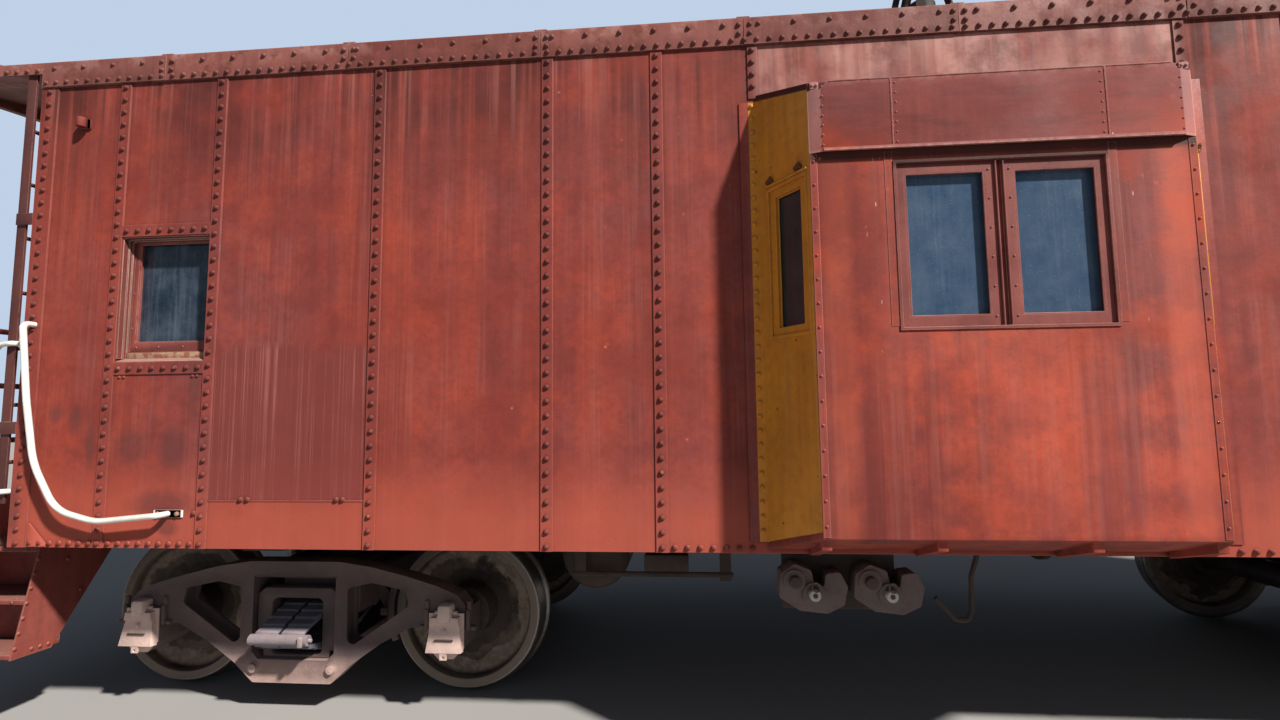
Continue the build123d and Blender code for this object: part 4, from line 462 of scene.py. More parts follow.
def chalky_red():
    """The side sheets: chalky oxide red, rain runs, a repainted panel, rub marks and a brighter skirt."""
    skirt_red = (0.40, 0.082, 0.052)
    panel_maroon = (0.165, 0.036, 0.032)
    scratch_pink = (0.36, 0.13, 0.115)
    rub_dark = (0.105, 0.033, 0.031)
    corner_pink = (0.46, 0.19, 0.155)
    paint = Finish("chalky_red")
    paint.colour = paint.effect(TWO_TONE, Bands=5.0, Share=0.42)
    cloudy = paint.blotches(5.0, 0.42, 0.66)
    along = paint.size(paint.x)
    outward = paint.size(paint.y)
    # Stains hang from the letterboard and fade downwards, pale runs between them.
    paint.lay(OXIDE_STAIN, paint.streaks(24.0, 0.35, 0.34, 0.56), paint.span(paint.z, 2.45, 3.20), 0.85)
    paint.lay(OXIDE_FADED, paint.streaks(40.0, 0.8, 0.54, 0.70), paint.span(paint.z, 2.80, 3.22), 0.45)
    # The sheet over the bay is bleached, with long pale runs.
    over_bay = paint.times(paint.span(along, 0.95, 0.90), paint.span(paint.z, 2.90, 3.08))
    bleached = paint.spread(paint.streaks(14.0, 1.6, 0.24, 0.56), 0.20, 1.0)
    washed = paint.spread(paint.blotches(5.5, 0.38, 0.56), 0.35, 1.0)
    paint.lay(BLEACHED_PINK, over_bay, bleached, washed)
    # The skirt under the lower seam has newer, brighter paint.
    ragged = paint.plus(paint.z, paint.times(cloudy, 0.05))
    paint.lay(skirt_red, paint.span(ragged, 1.38, 1.08), 0.68)
    # A panel that was painted over in maroon, its top rim ragged, with hair-thin upright scratches.
    left, right = paint.over(paint.x, PANEL_LEFT), paint.under(paint.x, PANEL_RIGHT)
    low, near = paint.over(paint.z, PANEL_LOW), paint.under(paint.y, -1.40)
    top = paint.span(paint.plus(paint.z, paint.times(cloudy, 0.06)), 1.90, 1.86)
    panel = paint.times(left, right, low, near, top)
    paint.lay(panel_maroon, panel, 0.80)
    paint.lay(scratch_pink, paint.streaks(190.0, 0.9, 0.52, 0.64), panel, 0.50)
    # Rub marks where hands and boots reach.
    for x, z, half_width, half_height in RUB_MARKS:
        stretch = (1 / half_width, 4.0, 1 / half_height)
        mark = paint.effect(SMUDGE, Centre=(x, -HALF_WIDTH, z), Stretch=stretch, Ragged=0.6)
        paint.lay(rub_dark, mark, 0.60)
    # Straps are a shade greyer than the sheets, and the rivet heads on them are painted darker.
    beside_bay = paint.times(paint.over(along, 0.90), paint.under(outward, 1.50))
    paint.lay(GREYED_MAROON, paint.span(outward, 1.4755, 1.4775), beside_bay, 0.15)
    heads = paint.times(paint.span(outward, 1.4796, 1.4815), beside_bay)
    paint.lay(RIVET_DARK, heads, 0.70)
    paint.lay(OXIDE_FADED, heads, paint.specks(28.0, 0.20, 0.30), 0.4)
    paint.flake(paint.span(along, 2.4, 1.5))
    # Dark dirt and painted shade in the crevices.
    paint.soil_and_shade_crevices(0.70)
    paint.wear_edges(corner_pink, 0.35, 0.006, 9.0, 0.62)
    roughness = paint.minus(paint.spread(cloudy, 0.62, 0.84), paint.times(panel, 0.14))
    paint.surface(roughness, paint.sheet_form(1.0, 1.0), 0.55)
    return paint.closed()


def bay_red():
    """The bay's front: greyed maroon with broad orange-red rubbed bands, pale losses beside the window."""
    corner_red = (0.42, 0.088, 0.052)
    painted_hood_shadow = (0.030, 0.012, 0.010)
    edge_pink = (0.50, 0.22, 0.19)
    paint = Finish("bay_red")
    paint.colour = paint.effect(TWO_TONE, Bands=6.0, Share=0.80)
    along = paint.size(paint.x)
    rubbed = paint.blotches(2.4, 0.50, 0.64)
    upper = paint.span(paint.z, 1.7, 2.2)
    paint.lay(WORN_ORANGE, rubbed, upper, 0.75)
    paint.lay(OXIDE_FADED, paint.streaks(36.0, 1.1, 0.52, 0.70), 0.18)
    at_corner = paint.span(paint.away(along, 0.645), 0.075, 0.030)
    paint.lay(corner_red, at_corner, paint.spread(rubbed, 0.35, 0.75))
    losses = paint.specks(30.0, 0.14, 0.45, paint.scaled((1.5, 1.0, 0.5)))
    paint.lay(PALE_CHIP, paint.span(paint.away(along, 0.485), 0.06, 0.0), upper, losses, 0.7)
    # Painted shadow of the rain hood: a dark band right under it.
    paint.lay(painted_hood_shadow, paint.span(paint.z, 2.548, 2.570), 0.85)
    paint.flake()
    paint.wear_edges(edge_pink, 0.6, 0.006, 14.0, 0.7)
    paint.surface(paint.spread(rubbed, 0.60, 0.80), paint.sheet_form(0.6, 1.0), 0.55)
    return paint.closed()


def hood_red():
    """The rain hood: greyed maroon, orange-red at its lower corners, dusty along its top rim."""
    hood_maroon = (0.165, 0.040, 0.037)
    return_pink = (0.40, 0.205, 0.195)
    lip_dust_and_highlight = (0.46, 0.22, 0.20)
    edge_pink = (0.56, 0.27, 0.235)
    paint = Finish("hood_red")
    paint.colour = paint.effect(TWO_TONE, Bands=3.0, Share=0.20)
    along = paint.size(paint.x)
    paint.lay(hood_maroon, 0.45)
    paint.lay(OXIDE_STAIN, paint.blotches(1.6, 0.46, 0.66, paint.scaled((1.6, 1.0, 9.0))), 0.40)
    rubbed = paint.blotches(3.4, 0.36, 0.60)
    paint.lay(WORN_ORANGE, rubbed, paint.span(paint.z, 2.76, 2.60), paint.span(along, 0.36, 0.66), 0.9)
    dusty = paint.blotches(30.0, 0.40, 0.60)
    paint.lay(BLEACHED_PINK, dusty, paint.span(paint.z, 2.868, 2.893), 0.35)
    # The folded ends are paler, and paint has peeled off beside the seams.
    paint.lay(return_pink, paint.span(along, 0.690, 0.696), 0.50)
    by_seam = paint.span(paint.away(along, HOOD_SEAM_X), 0.030, 0.004)
    by_seam = paint.times(by_seam, paint.span(paint.z, 2.720, 2.640))
    paint.lay(PALE_CHIP, by_seam, paint.specks(46.0, 0.20, 0.60, paint.scaled((1.6, 1.0, 0.6))), 0.85)
    # A pale band along the lip: dust, and a painted highlight on its top.
    paint.lay(lip_dust_and_highlight, paint.span(paint.z, 2.608, 2.600), paint.spread(dusty, 0.35, 0.8))
    paint.flake()
    paint.wear_edges(edge_pink, 0.75, 0.005, 20.0, 0.85)
    paint.surface(paint.spread(rubbed, 0.60, 0.78), paint.sheet_form(0.7, 1.0))
    return paint.closed()


def faded_roof_red():
    """Letterboard, fascias and roof sheets: sun-bleached, stained along the lower rim, their rivet heads
    darker.
    """
    faded, more_faded, most_faded = (0.185, 0.050, 0.041), (0.25, 0.088, 0.074), (0.30, 0.125, 0.108)
    run_dark = (0.115, 0.034, 0.029)
    rim_dark = (0.065, 0.020, 0.017)
    bloom_pink = (0.46, 0.25, 0.22)
    roof_brown = (0.16, 0.085, 0.068)
    edge_pink = (0.46, 0.21, 0.175)
    paint = Finish("faded_roof_red")
    paint.colour = paint.tint(paint.blotches(2.2, 0.35, 0.65), faded, more_faded)
    # Each sheet of the letterboard has weathered in its own way.
    sheet = paint.work("FLOOR", paint.work("DIVIDE", paint.x, SHEET_PITCH))
    own = paint.put("ShaderNodeTexWhiteNoise", {"W": sheet}, noise_dimensions="1D")["Value"]
    paint.lay(most_faded, paint.spread(own, 0.0, 0.75))
    paint.lay(run_dark, paint.streaks(30.0, 4.0, 0.42, 0.66), 0.45)
    stained = paint.blotches(7.0, 0.44, 0.62)
    paint.lay(rim_dark, stained, paint.span(paint.z, 3.345, 3.255), 0.7)
    roof = paint.span(paint.z, 3.392, 3.402)
    below_roof = paint.times(paint.span(paint.z, 3.30, 3.385), paint.span(paint.z, 3.402, 3.392))
    paint.lay(bloom_pink, paint.blotches(11.0, 0.50, 0.62), below_roof, 0.5)
    paint.lay(roof_brown, paint.blotches(1.1, 0.40, 0.62), roof, 0.7)
    paint.lay(RUST_BARE, paint.blotches(13.0, 0.56, 0.66), 0.6)
    # Rivet heads are painted darker.
    heads = paint.span(paint.size(paint.y), 1.4865, 1.4885)
    paint.lay(RIVET_DARK, heads, paint.minus(1.0, roof), 0.5)
    # Dark dirt and painted shade in the crevices.
    paint.soil_and_shade_crevices(0.65)
    paint.wear_edges(edge_pink, 0.55, 0.006, 10.0, 0.6)
    paint.surface(paint.spread(stained, 0.58, 0.82), paint.sheet_form(0.7, 1.6), 0.55)
    return paint.closed()


# Enamels and castings

def enamel_coat(name, main, second, stain, worn, gloss=(0.42, 0.66), streaks=0.4, wear=0.6, chips=0.35):
    """Painted steel with two tones, rain runs, chips and worn corners, still open to more layers."""
    brown_dust = (0.20, 0.145, 0.115)
    paint = Finish(name)
    broad = paint.blotches(3.0, 0.38, 0.64)
    fine = paint.blotches(24.0, 0.46, 0.64)
    paint.colour = paint.tint(broad, main, second)
    paint.lay(stain, paint.streaks(24.0, 1.4, 0.44, 0.70), streaks)
    paint.lay(stain, fine, 0.18)
    paint.lay(RUST_BARE, paint.specks(16.0, 0.10, chips), 0.75)
    paint.wear_edges(worn, 0.8, 0.005, 26.0, wear)
    paint.settle_dust(brown_dust, 0.35, 0.10, 9.0)
    uneven = paint.plus(paint.times(broad, 0.5), paint.times(fine, 0.5))
    paint.surface(paint.spread(uneven, *gloss), paint.sheet_form(0.12, 1.2))
    return paint


def enamel(name, main, second, stain, worn, **looks):
    return enamel_coat(name, main, second, stain, worn, **looks).closed()


def cast_coat(name, main, second, dust, rust, dusty=0.75, cling=0.3, grain=55.0):
    """Cast or rolled steel under road dust, pitted, with patches of rust, still open to more layers."""
    paint = Finish(name)
    paint.colour = paint.tint(paint.blotches(4.0, 0.36, 0.64), main, second)
    paint.lay(rust, paint.blotches(17.0, 0.50, 0.66), 0.5)
    settled = paint.settle_dust(dust, dusty, cling, 7.0)
    paint.wear_edges(dust, 0.35, 0.006, 34.0, 0.45)
    pits = paint.times(paint.noise(grain, 6.0, 0.7), 0.0035)
    paint.surface(paint.spread(settled, 0.62, 0.9), pits, 0.8)
    return paint


def casting(name, main, second, dust, rust, **looks):
    return cast_coat(name, main, second, dust, rust, **looks).closed()


def mustard_enamel():
    """The cheeks' enamel. Their flanges are red, but for a strip beside each bay's left cheek."""
    sun_bleached = (0.62, 0.34, 0.10)
    paint = enamel_coat(
        "mustard_enamel", (0.70, 0.265, 0.020), (0.58, 0.210, 0.018), (0.27, 0.100, 0.020),
        (0.70, 0.38, 0.10), streaks=0.30, chips=0.22,
    )
    paint.lay(sun_bleached, paint.streaks(30.0, 0.5, 0.48, 0.66), 0.22)
    right_cheek = paint.under(paint.times(paint.x, paint.y), 0.0)
    past_strip = paint.span(paint.size(paint.x), 0.9565, 0.9585)
    flange = paint.under(paint.size(paint.y), 1.492)
    red = paint.effect(TWO_TONE, Bands=6.0, Share=0.5)
    paint.lay(red, flange, paint.work("MAXIMUM", right_cheek, past_strip))
    return paint.closed()


def sash_maroon():
    """The sashes' enamel, with the rain hood's shadow painted dark on the bay windows' head frames."""
    painted_hood_shade = (0.034, 0.013, 0.011)
    paint = enamel_coat(
        "sash_maroon", (0.175, 0.040, 0.036), (0.260, 0.070, 0.058), (0.08, 0.020, 0.018),
        (0.50, 0.26, 0.21), streaks=0.3,
    )
    on_bay = paint.over(paint.size(paint.y), 1.68)
    # Painted shade: the rain hood's shadow on the head frames of the bay windows.
    paint.lay(painted_hood_shade, on_bay, paint.span(paint.z, 2.515, 2.540), 0.85)
    return paint.closed()


def truck_casting():
    """The trucks' brown-purple steel, their bottom chords and journal lids pale with dust and with painted
    sunlight.
    """
    chord_dust_and_painted_sun = (0.38, 0.255, 0.225)
    lid_dust_and_painted_sun = (0.66, 0.480, 0.425)
    paint = cast_coat(
        "truck_casting", (0.080, 0.060, 0.064), (0.112, 0.080, 0.078), (0.225, 0.155, 0.140),
        (0.098, 0.056, 0.046), dusty=0.5, cling=0.15,
    )
    cloudy = paint.blotches(12.0, 0.30, 0.62)
    # Pale dust on the bottom chords, and painted sunlight where the sun reaches them.
    paint.lay(chord_dust_and_painted_sun, paint.span(paint.z, 0.30, 0.22), paint.spread(cloudy, 0.55, 0.95))
    # Journal lids pale with dust, and painted sunlight on them.
    lids = paint.span(paint.size(paint.y), 1.098, 1.106)
    paint.lay(lid_dust_and_painted_sun, lids, paint.spread(cloudy, 0.70, 0.95))
    return paint.closed()


def spring_leaves():
    """Blue-grey leaf springs, paler and pinker on the eyes at their outer ends."""
    eye_pale_pink = (0.245, 0.195, 0.205)
    paint = cast_coat(
        "spring_leaves", (0.088, 0.106, 0.145), (0.118, 0.128, 0.158), (0.34, 0.28, 0.28),
        (0.09, 0.055, 0.045), dusty=0.30, cling=0.08, grain=80.0,
    )
    eyes = paint.span(paint.size(paint.y), 1.165, 1.195)
    # Eyes at the outer ends are painted paler and pinker.
    paint.lay(eye_pale_pink, eyes, paint.spread(paint.blotches(20.0, 0.35, 0.65), 0.65, 0.95))
    return paint.closed()


def wheel_grease():
    """Rolled wheels: bright worn tread, greasy web with dust thrown outwards in rings, dark hub."""
    grease, dry_grease, crust_brown = (0.040, 0.030, 0.026), (0.110, 0.082, 0.064), (0.150, 0.112, 0.086)
    hub_dark = (0.028, 0.021, 0.019)
    flung_dust = (0.260, 0.200, 0.155)
    rim_brown = (0.190, 0.148, 0.122)
    tread_steel = (0.24, 0.215, 0.20)
    paint = Finish("wheel_grease")
    off_axle = paint.minus(paint.away(paint.size(paint.x), TRUCK_X), WHEELBASE / 2)
    up = paint.minus(paint.z, AXLE_Z)
    radius = paint.work("SQRT", paint.plus(paint.times(off_axle, off_axle), paint.times(up, up)))
    scallops = paint.times(paint.minus(paint.noise(7.0, 5.0), 0.5), 0.22)
    wavy_radius = paint.plus(radius, scallops)
    crust = paint.blotches(26.0, 0.45, 0.60)
    paint.colour = paint.tint(paint.blotches(5.0, 0.44, 0.56), grease, dry_grease)
    paint.lay(crust_brown, crust, 0.35)
    paint.lay(hub_dark, paint.span(wavy_radius, 0.245, 0.235), 0.70)
    flung = paint.times(paint.span(wavy_radius, 0.288, 0.300), paint.span(radius, 0.352, 0.335))
    paint.lay(flung_dust, flung, paint.spread(crust, 0.50, 0.95))
    paint.lay(rim_brown, paint.span(radius, 0.354, 0.362), 0.85)
    tread = paint.span(radius, 0.398, 0.404)
    paint.lay(tread_steel, tread)
    paint.give(paint.shader["Metallic"], paint.times(tread, 0.85))
    greasy = paint.tint(crust, (0.38, 0.38, 0.38), (0.75, 0.75, 0.75))
    pits = paint.times(paint.noise(38.0, 6.0, 0.7), 0.004)
    paint.surface(paint.tint(tread, greasy, (0.3, 0.3, 0.3)), pits, 0.8)
    return paint.closed()


# Glass, wood and floor

def dusty_glass_with_painted_sky():
    """Panes under a film of dust over a dark room, their colour a painted sky reflection: bluest in the
    bay's front, dim in its cheeks.
    """
    side_pane_sky_reflection, bay_pane_sky_reflection, cheek_pane_dark_reflection = (0.016, 0.031, 0.056), (0.050, 0.098, 0.180), (0.022, 0.036, 0.040)
    film_blue = (0.28, 0.35, 0.44)
    paint = Finish("dusty_glass_with_painted_sky", specular=0.5)
    fine = paint.times(paint.specks(140.0, 0.14, 0.45), 0.55)
    cloudy = paint.times(paint.blotches(9.0, 0.35, 0.72), 0.22)
    runs = paint.times(paint.streaks(60.0, 3.0, 0.45, 0.70), 0.14)
    outward = paint.size(paint.y)
    on_cheek = paint.times(paint.over(paint.size(paint.x), 0.76), paint.over(outward, 1.48))
    dust = paint.work("ADD", fine, paint.plus(cloudy, runs), clamp=True)
    film = paint.times(dust, paint.spread(on_cheek, 1.0, 0.45))
    # The panes' colour is a painted reflection: sky blue on the fronts, darker on the cheeks.
    paint.colour = paint.tint(paint.span(outward, 1.45, 1.60), side_pane_sky_reflection, bay_pane_sky_reflection)
    paint.lay(cheek_pane_dark_reflection, on_cheek)
    paint.lay(film_blue, film)
    paint.surface(paint.span(film, 0.0, 0.6, 0.06, 0.42))
    paint.give(paint.shader["Transmission Weight"], 0.35)
    paint.give(paint.shader["IOR"], 1.5)
    return paint.closed()


def worn_boards():
    """Worn narrow boards along the car."""
    board_dark, board_light, gap_dark = (0.11, 0.07, 0.04), (0.30, 0.20, 0.12), (0.02, 0.014, 0.01)
    paint = Finish("worn_boards")
    grain = paint.noise(1.0, 6.0, place=paint.scaled((1.5, 40.0, 0.0)))
    paint.colour = paint.tint(grain, board_dark, board_light)
    paint.lay(gap_dark, paint.under(paint.work("FRACT", paint.times(paint.y, 12.0)), 0.06))
    paint.surface(paint.span(grain, 0.3, 0.7, 0.55, 0.8), paint.times(grain, 0.002), 0.6)
    return paint.closed()


def weathered_sill():
    """Bare grey-brown wood with open grain, traces of paint left in it."""
    wood_dark, wood_light = (0.13, 0.06, 0.035), (0.52, 0.36, 0.24)
    paint = Finish("weathered_sill")
    grain = paint.noise(2.2, 8.0, 0.7, paint.scaled((6.0, 60.0, 60.0)))
    paint.colour = paint.tint(grain, wood_dark, wood_light)
    paint.lay(OXIDE, paint.blotches(28.0, 0.46, 0.58), 0.7)
    paint.surface(paint.span(grain, 0.3, 0.7, 0.65, 0.9), paint.times(grain, 0.003), 0.8)
    return paint.closed()


def floor_finish():
    """Pale studio floor with a faint tone."""
    paint = Finish("studio_floor")
    paint.colour = paint.tint(paint.noise(0.7, 3.0), (0.275, 0.271, 0.265), (0.305, 0.301, 0.294))
    paint.surface(0.85)
    return paint.closed()


CHALKY_RED = chalky_red()
BAY_RED = bay_red()
HOOD_RED = hood_red()
ROOF_RED = faded_roof_red()
MUSTARD = mustard_enamel()
SASH_MAROON = sash_maroon()
TRUCK_STEEL = truck_casting()
SPRING_STEEL = spring_leaves()
WHEEL_GREASE = wheel_grease()
DUSTY_GLASS_WITH_PAINTED_SKY = dusty_glass_with_painted_sky()
BOARDS = worn_boards()
SILL_WOOD = weathered_sill()

# Enamels: main tone, second tone, rain stain, worn corner
JAMB_PAINT = enamel(
    "jamb_paint", (0.135, 0.032, 0.028), (0.190, 0.045, 0.036), (0.06, 0.016, 0.014),
    (0.66, 0.50, 0.42), streaks=0.2, wear=1.0, chips=0.6,
)
LEDGE_PINK = enamel(
    "ledge_pink", (0.42, 0.215, 0.185), (0.33, 0.140, 0.115), (0.16, 0.06, 0.05),
    (0.60, 0.42, 0.36), streaks=0.2,
)
DOOR_RED = enamel(
    "door_red", (0.215, 0.040, 0.030), (0.275, 0.058, 0.042), (0.09, 0.020, 0.017), (0.48, 0.22, 0.17)
)
STEP_RED = enamel(
    "step_red", (0.235, 0.052, 0.040), (0.185, 0.040, 0.033), (0.08, 0.022, 0.019),
    (0.48, 0.22, 0.18), streaks=0.35, wear=0.7,
)
LADDER_MAROON = enamel(
    "ladder_maroon", (0.070, 0.022, 0.022), (0.100, 0.030, 0.028), (0.04, 0.012, 0.012), (0.34, 0.15, 0.12)
)
GRAB_WHITE = enamel(
    "grab_white", (0.78, 0.77, 0.74), (0.70, 0.68, 0.64), (0.42, 0.34, 0.28),
    (0.30, 0.14, 0.09), gloss=(0.28, 0.45), streaks=0.12, wear=0.32, chips=0.12,
)
RUSTY_WHITE = enamel(
    "rusty_white", (0.40, 0.20, 0.16), (0.52, 0.38, 0.33), (0.15, 0.05, 0.03), (0.28, 0.11, 0.07)
)
PIN_WHITE = enamel(
    "pin_white", (0.58, 0.56, 0.55), (0.44, 0.41, 0.40), (0.22, 0.17, 0.15), (0.20, 0.14, 0.11)
)
CABIN_GREEN = enamel(
    "cabin_green", (0.26, 0.33, 0.24), (0.21, 0.27, 0.20), (0.12, 0.13, 0.09), (0.40, 0.42, 0.36), chips=0.1
)
SEAT_BROWN = enamel(
    "seat_cover", (0.045, 0.030, 0.022), (0.060, 0.040, 0.030), (0.025, 0.018, 0.014),
    (0.14, 0.10, 0.07), chips=0.05,
)

# Castings: main tone, second tone, dust, rust
RUSTY_BRACKET = casting(
    "rusty_bracket", (0.120, 0.045, 0.020), (0.085, 0.030, 0.015), (0.22, 0.11, 0.05),
    (0.10, 0.03, 0.012), dusty=0.3,
)
UNDER_BLACK = casting(
    "underframe_black", (0.032, 0.026, 0.024), (0.055, 0.040, 0.034), (0.15, 0.108, 0.086),
    (0.075, 0.030, 0.018), dusty=0.6, cling=0.22,
)
# Journal lids, lugs and bolts: pale dust, and painted sunlight on them.
LID_DUST_AND_PAINTED_SUN = casting(
    "lid_dust_and_painted_sun", (0.66, 0.500, 0.450), (0.54, 0.400, 0.350), (0.70, 0.56, 0.50),
    (0.24, 0.15, 0.12), dusty=0.75, cling=0.35,
)
ROLL_PINK = casting(
    "roll_pink", (0.34, 0.265, 0.265), (0.28, 0.215, 0.215), (0.40, 0.32, 0.32),
    (0.16, 0.10, 0.08), dusty=0.5, cling=0.3,
)
COUPLER_STEEL = casting(
    "coupler_casting", (0.120, 0.098, 0.100), (0.155, 0.118, 0.112), (0.22, 0.160, 0.135),
    (0.12, 0.055, 0.034), dusty=0.55, cling=0.20, grain=70.0,
)
COUPLER_DARK = casting(
    "coupler_head", (0.060, 0.044, 0.040), (0.085, 0.058, 0.050), (0.15, 0.105, 0.088),
    (0.11, 0.045, 0.026), dusty=0.45, cling=0.15, grain=70.0,
)
GUIDE_STEEL = casting(
    "guide_castings", (0.080, 0.060, 0.064), (0.125, 0.090, 0.085), (0.24, 0.165, 0.150),
    (0.105, 0.060, 0.050), dusty=0.5, cling=0.15,
)
STOVE_IRON = casting(
    "stove_iron", (0.022, 0.020, 0.020), (0.035, 0.031, 0.030), (0.10, 0.085, 0.075),
    (0.08, 0.035, 0.022), dusty=0.4, cling=0.2,
)

FINISH_OF_SLOT = {
    "body_paint": CHALKY_RED,
    "roof_paint": ROOF_RED,
    "bay_yellow": MUSTARD,
    "sash_paint": SASH_MAROON,
    "door_paint": DOOR_RED,
    "window_glass": DUSTY_GLASS_WITH_PAINTED_SKY,
    "platform_paint": STEP_RED,
    "ladder_paint": LADDER_MAROON,
    "white_paint": GRAB_WHITE,
    "underframe_steel": UNDER_BLACK,
    "truck_steel": TRUCK_STEEL,
    "spring_steel": SPRING_STEEL,
    "wheel_steel": WHEEL_GREASE,
    "coupler_steel": COUPLER_STEEL,
    "stove_iron": STOVE_IRON,
    "floor_wood": BOARDS,
    "cabin_paint": CABIN_GREEN,
    "seat_cover": SEAT_BROWN,
}

for name, piece in cad.items():
    piece.data.materials.clear()
    piece.data.materials.append(FINISH_OF_SLOT[slot_of_node[name]])


# Modelling helpers

HALF_TURN = Matrix.Rotation(pi, 4, "Z")
OTHER_SIDE = Matrix.Scale(-1, 4, (0, 1, 0))
OTHER_END = Matrix.Scale(-1, 4, (1, 0, 0))
BOTH_SIDES = (Matrix.Identity(4), OTHER_SIDE)
FOUR_CORNERS = (Matrix.Identity(4), OTHER_END, OTHER_SIDE, HALF_TURN)
SUNK = 0.001


def leave_all():
    """Back to object mode with nothing selected."""
    if bpy.context.mode != "OBJECT":
        bpy.ops.object.mode_set(mode="OBJECT")
    bpy.ops.object.select_all(action="DESELECT")


def pick(piece):
    leave_all()
    piece.select_set(True)
    bpy.context.view_layer.objects.active = piece


def settle(piece):
    """Puts the piece's place into its mesh, so that its object sits at the origin."""
    pick(piece)
    bpy.ops.object.transform_apply(location=True, rotation=True, scale=True)
    return piece


def soften(piece, width=0.004, segments=2, angle=35, clamp=True):
    """Rounds the hard edges with an applied Bevel, then shades smooth between them."""
    pick(piece)
    round_edges = piece.modifiers.new("round_edges", "BEVEL")
    round_edges.width = width
    round_edges.segments = segments
    round_edges.limit_method = "ANGLE"
    round_edges.angle_limit = radians(angle)
    round_edges.use_clamp_overlap = clamp
    bpy.ops.object.modifier_apply(modifier="round_edges")
    bpy.ops.object.shade_smooth_by_angle(angle=radians(40))
    return piece


def block(name, low, high, edge=0.004, segments=2):
    """A bar or plate between two corners, with rounded edges."""
    leave_all()
    bpy.ops.mesh.primitive_cube_add(size=1.0, location=[(a + b) / 2 for a, b in zip(low, high)])
    piece = bpy.context.object
    piece.name = name
    piece.scale = [b - a for a, b in zip(low, high)]
    return soften(settle(piece), edge, segments)


def rod(name, start, end, radius, sides=16, edge=0.0):
    """A round bar from one point to another."""
    leave_all()
    start, end = Vector(start), Vector(end)
    middle, length = (start + end) / 2, (end - start).length
    bpy.ops.mesh.primitive_cylinder_add(vertices=sides, radius=radius, depth=length, location=middle)
    piece = bpy.context.object
    piece.name = name
    piece.rotation_mode = "QUATERNION"
    piece.rotation_quaternion = (end - start).to_track_quat("Z", "Y")
    settle(piece)
    if edge:
        return soften(piece, edge)
    bpy.ops.object.shade_smooth_by_angle(angle=radians(40))
    return piece


def ring(name, middle, width, height, bar, depth, edge=0.002):
    """A rectangular bead that faces the near side, its back at middle and its front depth nearer."""
    leave_all()
    bpy.ops.mesh.primitive_plane_add(size=1.0, rotation=(pi / 2, 0, 0))
    piece = settle(bpy.context.object)
    piece.name = name
    piece.scale = (width, 1.0, height)
    settle(piece)
    bpy.ops.object.mode_set(mode="EDIT")
    bpy.ops.mesh.select_all(action="SELECT")
    bpy.ops.mesh.inset(thickness=bar)
    bpy.ops.mesh.delete(type="FACE")
    bpy.ops.mesh.select_all(action="SELECT")
    bpy.ops.mesh.extrude_region_move(TRANSFORM_OT_translate={"value": (0, -depth, 0)})
    bpy.ops.mesh.select_all(action="SELECT")
    bpy.ops.mesh.normals_make_consistent(inside=False)
    bpy.ops.object.mode_set(mode="OBJECT")
    piece.location = middle
    return soften(settle(piece), edge, 1)


def joined(name, pieces):
    """One piece from one or several."""
    leave_all()
    for piece in pieces:
        piece.select_set(True)
    bpy.context.view_layer.objects.active = pieces[0]
    if len(pieces) > 1:
        bpy.ops.object.join()
    pieces[0].name = name
    return pieces[0]


def finished(piece, finish, body="car"):
    """Gives a piece its finish and the body it rides on."""
    piece.data.materials.clear()
    piece.data.materials.append(finish)
    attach(piece, body)
    return piece


def copy_of(piece, turn):
    """A copy with its own mesh, turned or mirrored by a matrix."""
    twin = piece.copy()
    twin.data = piece.data.copy()
    bpy.context.collection.objects.link(twin)
    twin.data.transform(turn)
    if turn.determinant() < 0:
        twin.data.flip_normals()
    return twin


def fitted(name, pieces, finish, places=FOUR_CORNERS):
    """One piece on the car from several, repeated at its corners or on both its sides."""
    first = joined(name, pieces)
    copies = [copy_of(first, place) for place in places]
    bpy.data.objects.remove(first)
    return finished(joined(name, copies), finish)


def merged_copy(node, whole_faces=True):
    """A copy of a CAD node's mesh, its corners merged and its triangles joined into whole faces."""
    piece = bpy.data.objects.new(node + "_softened", cad[node].data.copy())
    bpy.context.collection.objects.link(piece)
    pick(piece)
    bpy.ops.mesh.customdata_custom_splitnormals_clear()
    bpy.ops.object.mode_set(mode="EDIT")
    bpy.ops.mesh.select_all(action="SELECT")
    bpy.ops.mesh.remove_doubles(threshold=0.00005)
    if whole_faces:
        bpy.ops.mesh.dissolve_limited(angle_limit=radians(1.5))
    bpy.ops.object.mode_set(mode="OBJECT")
    return piece


def stand_in(piece, node, finish=None):
    """Lets a finished piece stand for a CAD node, with its slot's finish unless another is given, and on its
    body.
    """
    slot = slot_of_node[node]
    finished(piece, finish or FINISH_OF_SLOT[slot], body_of_node[node])
    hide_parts(node)


def softened(node, width, segments=2, angle=32, finish=None, clamp=True):
    """Stands for a CAD node with a copy of it whose hard edges are rounded."""
    stand_in(soften(merged_copy(node), width, segments, angle, clamp), node, finish)


# Rivets, bolts and screws

OUTWARD = (0, 1, 0)
ENDWARD = (1, 0, 0)
STRAP_RIVET = (0.0135, 0.0115)


def rivet_head(radius, rise, sides=8):
    """One domed head on its base at the origin, made from a sphere cut in half."""
    leave_all()
    bpy.ops.mesh.primitive_uv_sphere_add(segments=sides, ring_count=6, radius=radius)
    bpy.ops.object.mode_set(mode="EDIT")
    bpy.ops.mesh.select_all(action="SELECT")
    bpy.ops.mesh.bisect(plane_co=(0, 0, 0), plane_no=(0, 0, 1), use_fill=True, clear_inner=True)
    bpy.ops.mesh.select_all(action="SELECT")
    bpy.ops.transform.resize(value=(1, 1, rise / radius))
    bpy.ops.object.mode_set(mode="OBJECT")
    return bpy.context.object


